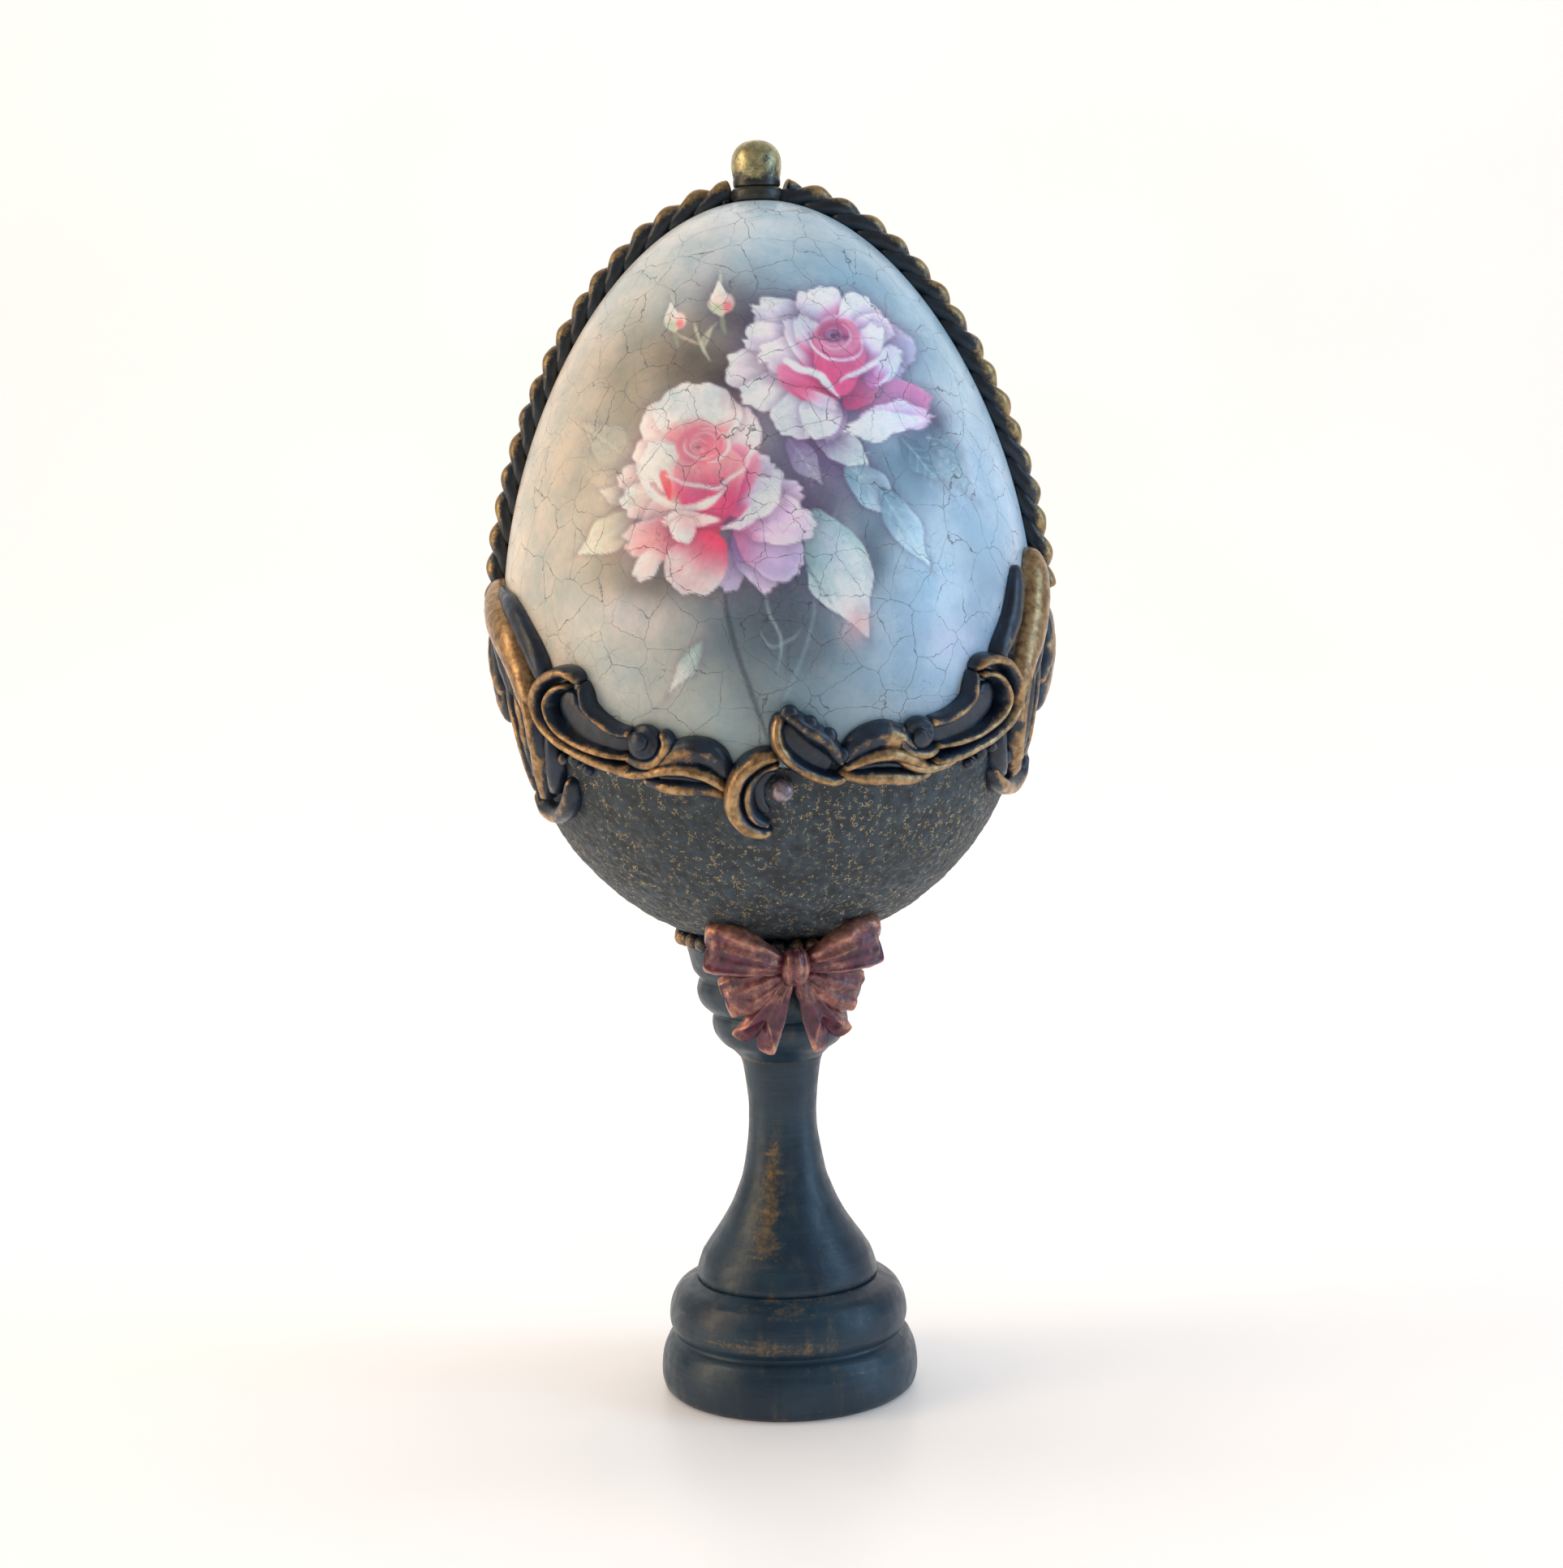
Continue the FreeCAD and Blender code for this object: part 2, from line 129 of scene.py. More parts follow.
def egg_profile(t, lift):
    """Radius and height of the egg's outline at angle t from the top, lifted outwards."""
    r = EGG_A * np.sin(t) * (1 - EGG_SKEW * np.cos(t))
    z = EGG_MID + EGG_HALF * np.cos(t)
    dr = EGG_A * (np.cos(t) - EGG_SKEW * np.cos(2 * t))
    dz = -EGG_HALF * np.sin(t)
    n = np.hypot(dr, dz)
    return r - lift * dz / n, z + lift * dr / n


def egg_at(azimuth, z, lift):
    """Points on the egg at azimuth degrees (0 = front, 90 = +X) and height z, lifted outwards."""
    azimuth, z, lift = np.broadcast_arrays(np.asarray(azimuth, float), np.asarray(z, float),
                                           np.asarray(lift, float))
    t = np.arccos(np.clip((z - EGG_MID) / EGG_HALF, -1, 1))
    r, zz = egg_profile(t, lift)
    a = np.radians(azimuth)
    return np.stack([r * np.sin(a), -r * np.cos(a), zz], -1)


def turned_about_z(p, degrees):
    """Points turned about the vertical axis."""
    a = math.radians(degrees)
    c, s = math.cos(a), math.sin(a)
    return np.stack([p[..., 0] * c - p[..., 1] * s, p[..., 0] * s + p[..., 1] * c, p[..., 2]], -1)


def normals(p, wrap_u, wrap_v):
    """Unit normals of a grid of points."""
    def diff(axis, wrap):
        if wrap:
            return np.roll(p, -1, axis) - np.roll(p, 1, axis)
        return np.gradient(p, axis=axis)
    n = np.cross(diff(0, wrap_u), diff(1, wrap_v))
    return n / np.maximum(np.linalg.norm(n, axis=-1, keepdims=True), 1e-9)


def convexity(p, wrap_u, wrap_v, reach):
    """How far each point stands out of its surroundings, in millimetres."""
    def mean(axis, wrap):
        if wrap:
            return (np.roll(p, -reach, axis) + np.roll(p, reach, axis)) / 2
        n = p.shape[axis]
        i = np.arange(n)
        lo, hi = np.maximum(i - reach, 0), np.minimum(i + reach, n - 1)
        return (np.take(p, lo, axis) + np.take(p, hi, axis)) / 2
    n = normals(p, wrap_u, wrap_v)
    return (((p - mean(0, wrap_u)) + (p - mean(1, wrap_v))) * n).sum(-1)


class Grid:
    """A sheet of points with per-point values, closed or open in each direction."""

    def __init__(self, points, wrap_u=False, wrap_v=False, flip=False, colour=None, **fields):
        self.p = np.asarray(points, float)
        self.wrap_u, self.wrap_v, self.flip = wrap_u, wrap_v, flip
        self.colour, self.fields = colour, fields

    def faces(self, start):
        nu, nv = self.p.shape[:2]
        i = np.arange(nu if self.wrap_u else nu - 1)
        j = np.arange(nv if self.wrap_v else nv - 1)
        i, j = np.meshgrid(i, j, indexing="ij")
        i2, j2 = (i + 1) % nu, (j + 1) % nv
        q = np.stack([i * nv + j, i2 * nv + j, i2 * nv + j2, i * nv + j2], -1).reshape(-1, 4) + start
        return q[:, ::-1] if self.flip else q


def piece(name, grids, material, body, replaces, weld=True, subdivide=0):
    """One drawn object made of the given grids, riding on its body in place of its CAD node."""
    points = np.concatenate([g.p.reshape(-1, 3) for g in grids]) * MM
    quads, start = [], 0
    for g in grids:
        quads.append(g.faces(start))
        start += g.p.shape[0] * g.p.shape[1]
    quads = np.concatenate(quads)
    mesh = bpy.data.meshes.new(name)
    mesh.vertices.add(len(points))
    mesh.vertices.foreach_set("co", points.astype(np.float32).ravel())
    mesh.loops.add(len(quads) * 4)
    mesh.loops.foreach_set("vertex_index", quads.astype(np.int32).ravel())
    mesh.polygons.add(len(quads))
    mesh.polygons.foreach_set("loop_start", np.arange(0, len(quads) * 4, 4, dtype=np.int32))
    mesh.polygons.foreach_set("loop_total", np.full(len(quads), 4, np.int32))
    mesh.update(calc_edges=True)
    names = sorted({k for g in grids for k in g.fields})
    for key in names:
        parts = [np.broadcast_to(g.fields.get(key, 0.0), g.p.shape[:2]).reshape(-1) for g in grids]
        layer = mesh.attributes.new(key, "FLOAT", "POINT")
        layer.data.foreach_set("value", np.concatenate(parts).astype(np.float32))
    if any(g.colour is not None for g in grids):
        parts = []
        for g in grids:
            rgb = np.broadcast_to(g.colour, g.p.shape).reshape(-1, 3)
            parts.append(np.concatenate([rgb, np.ones((len(rgb), 1))], 1))
        layer = mesh.color_attributes.new("paint", "FLOAT_COLOR", "POINT")
        layer.data.foreach_set("color", np.concatenate(parts).astype(np.float32).ravel())
    if weld:
        bm = bmesh.new()
        bm.from_mesh(mesh)
        bmesh.ops.remove_doubles(bm, verts=bm.verts, dist=2e-6)
        bm.to_mesh(mesh)
        bm.free()
    mesh.polygons.foreach_set("use_smooth", np.ones(len(mesh.polygons), bool))
    mesh.materials.append(material)
    mesh.update()
    obj = bpy.data.objects.new(name, mesh)
    bpy.context.scene.collection.objects.link(obj)
    if subdivide:
        sub = obj.modifiers.new("subdivide", "SUBSURF")
        sub.levels = sub.render_levels = subdivide
    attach(obj, body)
    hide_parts(*([replaces] if isinstance(replaces, str) else replaces))
    return obj


def lathe(profile, steps, around, rough=0.0, seed=1, sizes=(6.0, 2.0)):
    """Turned surface from a list of (radius, height), a little uneven as if painted by hand."""
    prof = np.asarray(profile, float)
    step = np.r_[0, np.cumsum(np.hypot(*np.diff(prof, axis=0).T))]
    s = np.linspace(0, step[-1], steps)
    r, z = np.interp(s, step, prof[:, 0]), np.interp(s, step, prof[:, 1])
    a = -np.linspace(0, 2 * np.pi, around, endpoint=False)
    r2 = r[:, None] * np.ones(around)
    p = np.stack([r2 * np.cos(a), r2 * np.sin(a), z[:, None] * np.ones(around)], -1)
    if rough:
        bump = cloud(p, sizes[0], seed, 2) + 0.4 * grain(p, sizes[1], seed + 5)
        fade = smooth(0.2, 1.5, r2)
        p[..., 0] += rough * bump * np.cos(a) * fade
        p[..., 1] += rough * bump * np.sin(a) * fade
    return p


def rounded(points, n=12):
    """One line of (radius, height) from several runs; runs of three or more points are curved."""
    out = []
    for run in points:
        if len(run) > 2:
            out.extend(list(map(tuple, through(run, n * (len(run) - 1)))))
        else:
            out.extend(run)
    return out


# ---------------------------------------------------------------- materials

def new_material(name):
    """An empty material with its node helper and its surface shader."""
    m = bpy.data.materials.new(name)
    m.use_nodes = True
    m.node_tree.nodes.clear()
    out = m.node_tree.nodes.new("ShaderNodeOutputMaterial")
    bsdf = m.node_tree.nodes.new("ShaderNodeBsdfPrincipled")
    m.node_tree.links.new(bsdf.outputs[0], out.inputs[0])
    return m, Nodes(m.node_tree), bsdf


class Nodes:
    """Short calls for the shader nodes used below."""

    def __init__(self, tree):
        self.tree = tree
        coords = tree.nodes.new("ShaderNodeTexCoord")
        self.place = coords.outputs["Object"]

    def put(self, kind, **settings):
        node = self.tree.nodes.new(kind)
        for k, v in settings.items():
            setattr(node, k, v)
        return node

    def link(self, a, b):
        self.tree.links.new(a, b)

    def feed(self, socket, value):
        if isinstance(value, bpy.types.NodeSocket):
            self.link(value, socket)
        else:
            socket.default_value = value

    def attribute(self, name):
        return self.put("ShaderNodeAttribute", attribute_name=name).outputs["Fac"]

    def paint(self):
        return self.put("ShaderNodeAttribute", attribute_name="paint").outputs["Color"]

    def moved(self, scale, turn=(0, 0, 0), source=None):
        n = self.put("ShaderNodeMapping")
        self.link(source or self.place, n.inputs["Vector"])
        n.inputs["Scale"].default_value = scale
        n.inputs["Rotation"].default_value = turn
        return n.outputs[0]

    def noise(self, scale, detail=3.0, rough=0.5, vector=None, warp=0.0):
        n = self.put("ShaderNodeTexNoise")
        self.link(vector or self.place, n.inputs["Vector"])
        n.inputs["Scale"].default_value = scale
        n.inputs["Detail"].default_value = detail
        n.inputs["Roughness"].default_value = rough
        n.inputs["Distortion"].default_value = warp
        return n.outputs["Fac"]

    def noise_colour(self, scale, detail=2.0):
        n = self.put("ShaderNodeTexNoise")
        self.link(self.place, n.inputs["Vector"])
        n.inputs["Scale"].default_value = scale
        n.inputs["Detail"].default_value = detail
        return n.outputs["Color"]

    def cells(self, scale, feature="DISTANCE_TO_EDGE", vector=None, random=1.0):
        n = self.put("ShaderNodeTexVoronoi", feature=feature)
        self.link(vector or self.place, n.inputs["Vector"])
        n.inputs["Scale"].default_value = scale
        n.inputs["Randomness"].default_value = random
        return n

    def ramp(self, value, low, high, out_low=0.0, out_high=1.0):
        n = self.put("ShaderNodeMapRange", interpolation_type="SMOOTHSTEP")
        self.link(value, n.inputs["Value"])
        n.inputs["From Min"].default_value = low
        n.inputs["From Max"].default_value = high
        n.inputs["To Min"].default_value = out_low
        n.inputs["To Max"].default_value = out_high
        return n.outputs["Result"]

    def maths(self, kind, a, b=0.0):
        n = self.put("ShaderNodeMath", operation=kind)
        self.feed(n.inputs[0], a)
        self.feed(n.inputs[1], b)
        return n.outputs[0]

    def blend(self, factor, a, b, kind="MIX"):
        n = self.put("ShaderNodeMix", data_type="RGBA", blend_type=kind)
        self.feed(n.inputs["Factor"], factor)
        self.feed(n.inputs[6], (*a, 1) if isinstance(a, tuple) else a)
        self.feed(n.inputs[7], (*b, 1) if isinstance(b, tuple) else b)
        return n.outputs[2]

    def bump(self, height, distance, strength=1.0, after=None):
        n = self.put("ShaderNodeBump")
        self.link(height, n.inputs["Height"])
        n.inputs["Distance"].default_value = distance
        n.inputs["Strength"].default_value = strength
        if after is not None:
            self.link(after, n.inputs["Normal"])
        return n.outputs[0]

    def warped(self, amount, scale, source=None):
        """Coordinates pushed about by noise, so that straight edges wander."""
        noise = self.noise_colour(scale)
        n = self.put("ShaderNodeVectorMath", operation="SUBTRACT")
        self.link(noise, n.inputs[0])
        n.inputs[1].default_value = (0.5, 0.5, 0.5)
        s = self.put("ShaderNodeVectorMath", operation="SCALE")
        self.link(n.outputs[0], s.inputs[0])
        s.inputs["Scale"].default_value = amount
        a = self.put("ShaderNodeVectorMath", operation="ADD")
        self.link(source or self.place, a.inputs[0])
        self.link(s.outputs[0], a.inputs[1])
        return a.outputs[0]


def rubbed_material(name, dark, darker, metal_low, metal_high, threshold=0.5, gloss=0.34, soft=1.0):
    """Dark painted relief with metallic wax rubbed on its high places (attribute 'rub')."""
    m, n, bsdf = new_material(name)
    rub = n.attribute("rub")
    broken = n.noise(900, 4, 0.65)
    fine = n.noise(3200, 3, 0.6)
    wax = n.maths("ADD", rub, n.maths("MULTIPLY", n.maths("SUBTRACT", broken, 0.5), 0.75))
    wax = n.maths("ADD", wax, n.maths("MULTIPLY", n.maths("SUBTRACT", fine, 0.5), 0.35))
    mask = n.ramp(wax, threshold - 0.16 * soft, threshold + 0.2 * soft)
    ground = n.blend(n.ramp(n.noise(420, 3), 0.35, 0.65), darker, dark)
    metal = n.blend(n.ramp(n.noise(650, 4, 0.6), 0.3, 0.7), metal_low, metal_high)
    n.link(n.blend(mask, ground, metal), bsdf.inputs["Base Color"])
    n.link(n.ramp(mask, 0, 1, 0.05, 0.72), bsdf.inputs["Metallic"])
    n.link(n.ramp(n.noise(1500, 3), 0.3, 0.7, gloss - 0.06, gloss + 0.12), bsdf.inputs["Roughness"])
    n.link(n.bump(n.noise(1800, 4, 0.6), 0.00012, 0.5), bsdf.inputs["Normal"])
    bsdf.inputs["Coat Weight"].default_value = 0.25
    bsdf.inputs["Coat Roughness"].default_value = 0.25
    return m


def stand_material():
    """Blue-green paint with bronze showing where it is brushed or worn and, on the front of the foot and
    column, where a painted warm highlight lies; lighter rings along the turning are a painted sheen.
    """
    m, n, bsdf = new_material("stand_paint")
    rub = n.attribute("rub")
    patch = n.noise(70, 4, 0.6)
    streak = n.noise(260, 4, 0.65, n.moved((1.0, 1.0, 0.16)))
    turned = n.noise(300, 4, 0.65, n.moved((0.12, 0.12, 2.6)))
    ground = n.blend(n.ramp(patch, 0.35, 0.66), (0.006, 0.022, 0.044), (0.014, 0.042, 0.068))
    # Painted sheen: lighter blue rings along the turning stand in for light caught by the turning marks.
    ground = n.blend(n.ramp(turned, 0.45, 0.75, 0, 0.28), ground, (0.028, 0.070, 0.102))
    grey = n.blend(n.ramp(streak, 0.50, 0.78, 0, 0.45), ground, (0.070, 0.078, 0.070))
    bronze_marks = n.maths("MAXIMUM", streak, n.noise(330, 4, 0.65, n.moved((0.22, 0.22, 2.2))))
    wear = n.maths("ADD", rub, n.maths("MULTIPLY", n.maths("SUBTRACT", bronze_marks, 0.5), 1.5))
    wear = n.maths("ADD", wear, n.maths("MULTIPLY", n.maths("SUBTRACT", n.noise(1700, 3, 0.6), 0.5), 0.7))
    mask = n.ramp(wear, 0.38, 1.08)
    bronze = n.blend(n.ramp(n.noise(900, 3), 0.3, 0.7), (0.20, 0.125, 0.045), (0.42, 0.27, 0.10))
    n.link(n.blend(n.maths("MULTIPLY", mask, 0.8), grey, bronze), bsdf.inputs["Base Color"])
    n.link(n.ramp(mask, 0, 1, 0.0, 0.6), bsdf.inputs["Metallic"])
    n.link(n.ramp(n.noise(420, 4), 0.3, 0.7, 0.30, 0.46), bsdf.inputs["Roughness"])
    coarse = n.bump(turned, 0.00018, 0.5)
    n.link(n.bump(n.noise(1600, 3, 0.6), 0.00008, 0.5, coarse), bsdf.inputs["Normal"])
    bsdf.inputs["Specular IOR Level"].default_value = 0.45
    return m


def coat_material():
    """Slate paste with short curly gold threads, painted darker in its low places as shade."""
    m, n, bsdf = new_material("texture_paste")
    high = n.attribute("height")
    patch = n.noise(45, 4, 0.6)
    ground = n.blend(n.ramp(patch, 0.35, 0.66), (0.028, 0.050, 0.068), (0.048, 0.078, 0.102))
    # Painted shade: the paste is made darker towards its low places, where shade falls in its hollows.
    ground = n.blend(n.ramp(high, -0.6, 0.9), (0.016, 0.024, 0.031), ground)
    lines = n.cells(1900, "DISTANCE_TO_EDGE", n.warped(0.0010, 600))
    thread = n.ramp(lines.outputs["Distance"], 0.072, 0.020)
    sparse = n.ramp(n.noise(1050, 1, 0.5), 0.55, 0.63)
    region = n.ramp(n.noise(60, 3, 0.6), 0.32, 0.62, 0.25, 1.0)
    fleck = n.maths("MULTIPLY", n.maths("MULTIPLY", thread, sparse), region)
    gold = n.blend(n.noise(700, 2), (0.50, 0.34, 0.13), (0.86, 0.70, 0.40))
    n.link(n.blend(fleck, ground, gold), bsdf.inputs["Base Color"])
    n.link(n.ramp(fleck, 0, 1, 0.0, 0.55), bsdf.inputs["Metallic"])
    n.link(n.ramp(n.noise(900, 3), 0.3, 0.7, 0.46, 0.66), bsdf.inputs["Roughness"])
    coarse = n.bump(n.noise(1500, 3, 0.6), 0.0004, 0.6)
    n.link(n.bump(fleck, 0.0002, 0.4, coarse), bsdf.inputs["Normal"])
    return m


def picture_material(name):
    """Painted print (colour attribute) under crackled gloss varnish."""
    m, n, bsdf = new_material(name)
    paint = n.paint()
    fibre = n.noise(1500, 4, 0.7)
    paint = n.blend(n.ramp(fibre, 0.35, 0.65, 0.0, 0.10), paint, (0.30, 0.33, 0.36))
    mottle = n.blend(n.ramp(n.noise(95, 6, 0.68), 0.36, 0.64), (0.74, 0.86, 0.93), (1.16, 1.10, 1.08))
    paint = n.blend(0.8, paint, mottle, "MULTIPLY")
    where = n.warped(0.0035, 130)
    where = n.warped(0.0009, 900, where)
    big = n.cells(146, vector=where)
    small = n.cells(310, vector=where)
    region = n.ramp(n.noise(75, 2), 0.44, 0.56)
    width = n.ramp(n.noise(240, 3, 0.6), 0.30, 0.75, 0.007, 0.022)
    line_big = n.maths("SUBTRACT", 1.0, n.maths("DIVIDE", big.outputs["Distance"], width))
    line_big = n.ramp(line_big, 0.0, 0.85)
    hair = n.maths("SUBTRACT", 1.0, n.maths("DIVIDE", small.outputs["Distance"],
                                            n.maths("MULTIPLY", width, 1.1)))
    hair = n.maths("MULTIPLY", n.ramp(hair, 0.0, 0.9), n.maths("MULTIPLY", region, 0.8))
    gaps = n.ramp(n.noise(110, 3, 0.6), 0.32, 0.48, 0.45, 1.0)
    crack = n.maths("MULTIPLY", n.maths("MAXIMUM", line_big, hair), gaps)
    ink = n.blend(crack, paint, (0.050, 0.055, 0.070))
    n.link(n.blend(n.maths("MULTIPLY", crack, 0.74), paint, ink), bsdf.inputs["Base Color"])
    bsdf.inputs["Roughness"].default_value = 0.42
    n.link(n.bump(n.maths("SUBTRACT", 1.0, crack), 0.00006, 0.5), bsdf.inputs["Normal"])
    bsdf.inputs["Coat Weight"].default_value = 0.65
    bsdf.inputs["Coat Roughness"].default_value = 0.26
    return m


def pearl_material():
    """Greyish bead with a soft lustre."""
    m, n, bsdf = new_material("pearl_lustre")
    patch = n.noise(900, 3, 0.6)
    tint = n.blend(n.ramp(patch, 0.35, 0.65), (0.10, 0.11, 0.15), (0.36, 0.27, 0.30))
    n.link(tint, bsdf.inputs["Base Color"])
    n.link(n.ramp(n.noise(1500, 3), 0.3, 0.7, 0.22, 0.42), bsdf.inputs["Roughness"])
    n.link(n.bump(n.noise(1500, 3, 0.6), 0.00008, 0.4), bsdf.inputs["Normal"])
    bsdf.inputs["Metallic"].default_value = 0.35
    bsdf.inputs["Coat Weight"].default_value = 0.5
    return m


def wood_material():
    """Bare beech with upright grain."""
    m, n, bsdf = new_material("bare_beech")
    rings = n.noise(120, 4, 0.6, n.moved((1, 1, 0.08)))
    fleck = n.noise(900, 3, 0.6, n.moved((1, 1, 0.15)))
    tone = n.blend(rings, (0.42, 0.27, 0.14), (0.62, 0.45, 0.27))
    n.link(n.blend(n.ramp(fleck, 0.55, 0.72, 0, 0.5), tone, (0.30, 0.17, 0.08)),
           bsdf.inputs["Base Color"])
    n.link(n.ramp(fleck, 0.3, 0.7, 0.45, 0.65), bsdf.inputs["Roughness"])
    n.link(n.bump(fleck, 0.00005, 0.5), bsdf.inputs["Normal"])
    return m


GOLD = rubbed_material("antique_gold", (0.008, 0.022, 0.048), (0.003, 0.008, 0.019),
                       (0.21, 0.115, 0.048), (0.54, 0.34, 0.16), 0.86, 0.34, 1.25)
ROPE = rubbed_material("rope_gold", (0.011, 0.022, 0.036), (0.004, 0.008, 0.014),
                       (0.24, 0.15, 0.055), (0.50, 0.34, 0.15), 0.60)
PLUM = rubbed_material("plum_copper", (0.135, 0.022, 0.052), (0.050, 0.008, 0.024),
                       (0.33, 0.125, 0.105), (0.62, 0.32, 0.22), 0.52, 0.34, 1.7)
FINIAL = rubbed_material("finial_gold", (0.040, 0.038, 0.022), (0.010, 0.014, 0.016),
                         (0.34, 0.29, 0.14), (0.62, 0.56, 0.31), 0.42)
STAND = stand_material()
PASTE = coat_material()
FRONT = picture_material("front_varnish")
BACK = picture_material("back_varnish")
PEARL = pearl_material()
WOOD = wood_material()


# ---------------------------------------------------------------- stand

def edge_wear(p, gain, base, reach=3):
    """Wear that grows on rounded edges."""
    return np.clip(base + gain * convexity(p, False, True, reach), -0.4, 1.0)


foot_line = rounded([
    [(0, 0), (19, 0.0)], [(21.6, 0.05), (22.5, 0.9), (22.95, 2.6), (22.95, 4.6), (22.55, 7.0),
                          (21.75, 8.9)],
    [(21.2, 9.5), (20.6, 9.85), (20.35, 10.25), (20.6, 10.8), (21.15, 12.0), (21.3, 13.4), (20.9, 15.9),
     (19.9, 17.9),
     (18.8, 18.95), (17.5, 19.6), (16.4, 20.1)], [(16.4, 20.1), (8.2, 19.45)]])
p = lathe(foot_line, 170, 300, 0.11, 3, (9.0, 3.0))
p[..., 2] = np.maximum(p[..., 2], 0.0)
# Bronze patches on the side facing the viewer, round the upper roll and on the top: real bronze rub with a
# painted warm highlight laid over it.
face = np.degrees(np.arctan2(p[..., 0], -p[..., 1]))
bronze_marks = 0.34 * np.exp(-((face + 6) / 30) ** 2) * np.exp(-((p[..., 2] - 12.5) / 2.2) ** 2)
bronze_marks = bronze_marks + 0.26 * np.exp(-((face - 4) / 40) ** 2) * smooth(17.0, 19.0, p[..., 2])
piece("foot", [Grid(p, False, True, rub=edge_wear(p, 0.9, 0.10) + bronze_marks)], STAND, "stand", "stand_foot")

column_line = rounded([
    [(8.0, 19.5), (14.6, 19.5)], [(15.4, 19.5), (16.0, 20.2), (16.1, 21.3), (15.7, 22.8), (15.1, 24.5)],
    [(15.1, 24.5), (13.4, 27.1), (11.3, 30.2), (9.6, 33.2), (8.3, 36.2), (7.3, 39.2), (6.3, 45.2),
     (6.0, 50.0),
     (6.3, 54.4), (6.85, 58.4), (7.35, 60.1)], [(7.35, 60.2), (4.6, 60.2)]])
p = lathe(column_line, 190, 220, 0.10, 9, (8.0, 2.6))
# Painted reflection: a narrow upright bronze band on the front of the column, a little left of centre,
# stands for the warm window's reflection over the real bronze rub.
patch = np.exp(-((np.degrees(np.arctan2(p[..., 0], -p[..., 1])) + 18) / 16) ** 2)
bronze_and_painted_reflection = 0.58 * patch * smooth(22, 30, p[..., 2]) * smooth(52, 44, p[..., 2])
piece("column", [Grid(p, False, True, rub=edge_wear(p, 0.9, 0.08) + bronze_and_painted_reflection)], STAND, "stand",
      "stand_column")

cup_line = rounded([
    [(4.7, 60.05), (7.2, 60.05)], [(7.35, 60.1), (8.8, 61.6), (10.4, 62.8), (11.6, 64.5), (12.05, 66.2),
                                   (11.9, 67.5)],
    [(11.7, 67.8), (11.65, 68.1), (12.6, 68.7), (14.0, 70.2), (14.6, 72.2), (14.3, 74.0)],
    [(14.05, 74.4), (14.1, 74.7), (15.2, 76.2), (15.85, 78.6), (16.15, 80.4), (15.7, 80.95)],
    [(15.4, 81.0), (13.0, 81.0)], [(12.0, 80.6), (6.0, 79.9), (4.1, 79.8)]])
p = lathe(cup_line, 170, 260, 0.12, 21, (5.0, 2.0))
p[..., 2] = np.where(p[..., 2] > 79.6, np.minimum(p[..., 2], 81.0), p[..., 2])
piece("cup", [Grid(p, False, True, rub=edge_wear(p, 0.8, 0.16))], STAND, "stand", "stand_cup")


def ball_grid(centre, radius, normal=(0, 0, 1), squash=1.0, rows=14, around=20, swirl=0.0, turn=0.0):
    """Round bead, flattened along its normal and, with swirl, cut by a spiral groove."""
    n = np.asarray(normal, float) / np.linalg.norm(normal)
    a = np.cross(n, (0.0, 0.0, 1.0))
    if np.linalg.norm(a) < 0.1:
        a = np.cross(n, (0.0, 1.0, 0.0))
    a /= np.linalg.norm(a)
    b = np.cross(n, a)
    t = np.linspace(0, np.pi, rows)[:, None]
    f = np.linspace(0, 2 * np.pi, around, endpoint=False)[None, :]
    r = radius * np.ones((rows, around))
    if swirl:
        phase = np.cos(f - turn - 2.4 * t * 1.6)
        r = r * (1 - swirl * smooth(0.35, 0.95, phase) * smooth(0.15, 0.5, t) * smooth(2.4, 1.6, t))
    p = (np.asarray(centre, float) + (r * np.sin(t) * np.cos(f))[..., None] * a
         + (r * np.sin(t) * np.sin(f))[..., None] * b
         + (r * np.cos(t) * squash)[..., None] * n)
    return p


# A circle of beads, and the round band under them that they are pressed on.
bead_count, bead_circle, bead_size, bead_height = 36, 17.0, 1.46, 82.35
band_circle, band_height, band_size = 16.2, 81.8, 1.1
beads = []
for i in range(bead_count):
    a = 2 * math.pi * i / bead_count
    r = bead_size + 0.12 * math.sin(i * 2.7)
    c = (bead_circle * math.cos(a), bead_circle * math.sin(a), bead_height + 0.08 * math.sin(i * 1.9))
    p = ball_grid(c, r, (math.cos(a), math.sin(a), 0.5), 0.92)
    high = (np.hypot(p[..., 0], p[..., 1]) - bead_circle) / 1.5
    beads.append(Grid(p, False, True, rub=0.52 + 0.45 * high + 0.3 * grain(p, 2.0, 8)))
a = np.linspace(0, 2 * np.pi, 180, endpoint=False)[:, None]
b = np.linspace(0, 2 * np.pi, 14, endpoint=False)[None, :]
across = band_circle + band_size * np.cos(b)
band = np.stack([across * np.cos(a), across * np.sin(a), band_height + band_size * np.sin(b) + 0 * a], -1)
beads.append(Grid(band, True, True, rub=-0.3))
piece("rim_beads", beads, GOLD, "stand", "cup_rim_trim")


# ---------------------------------------------------------------- bow

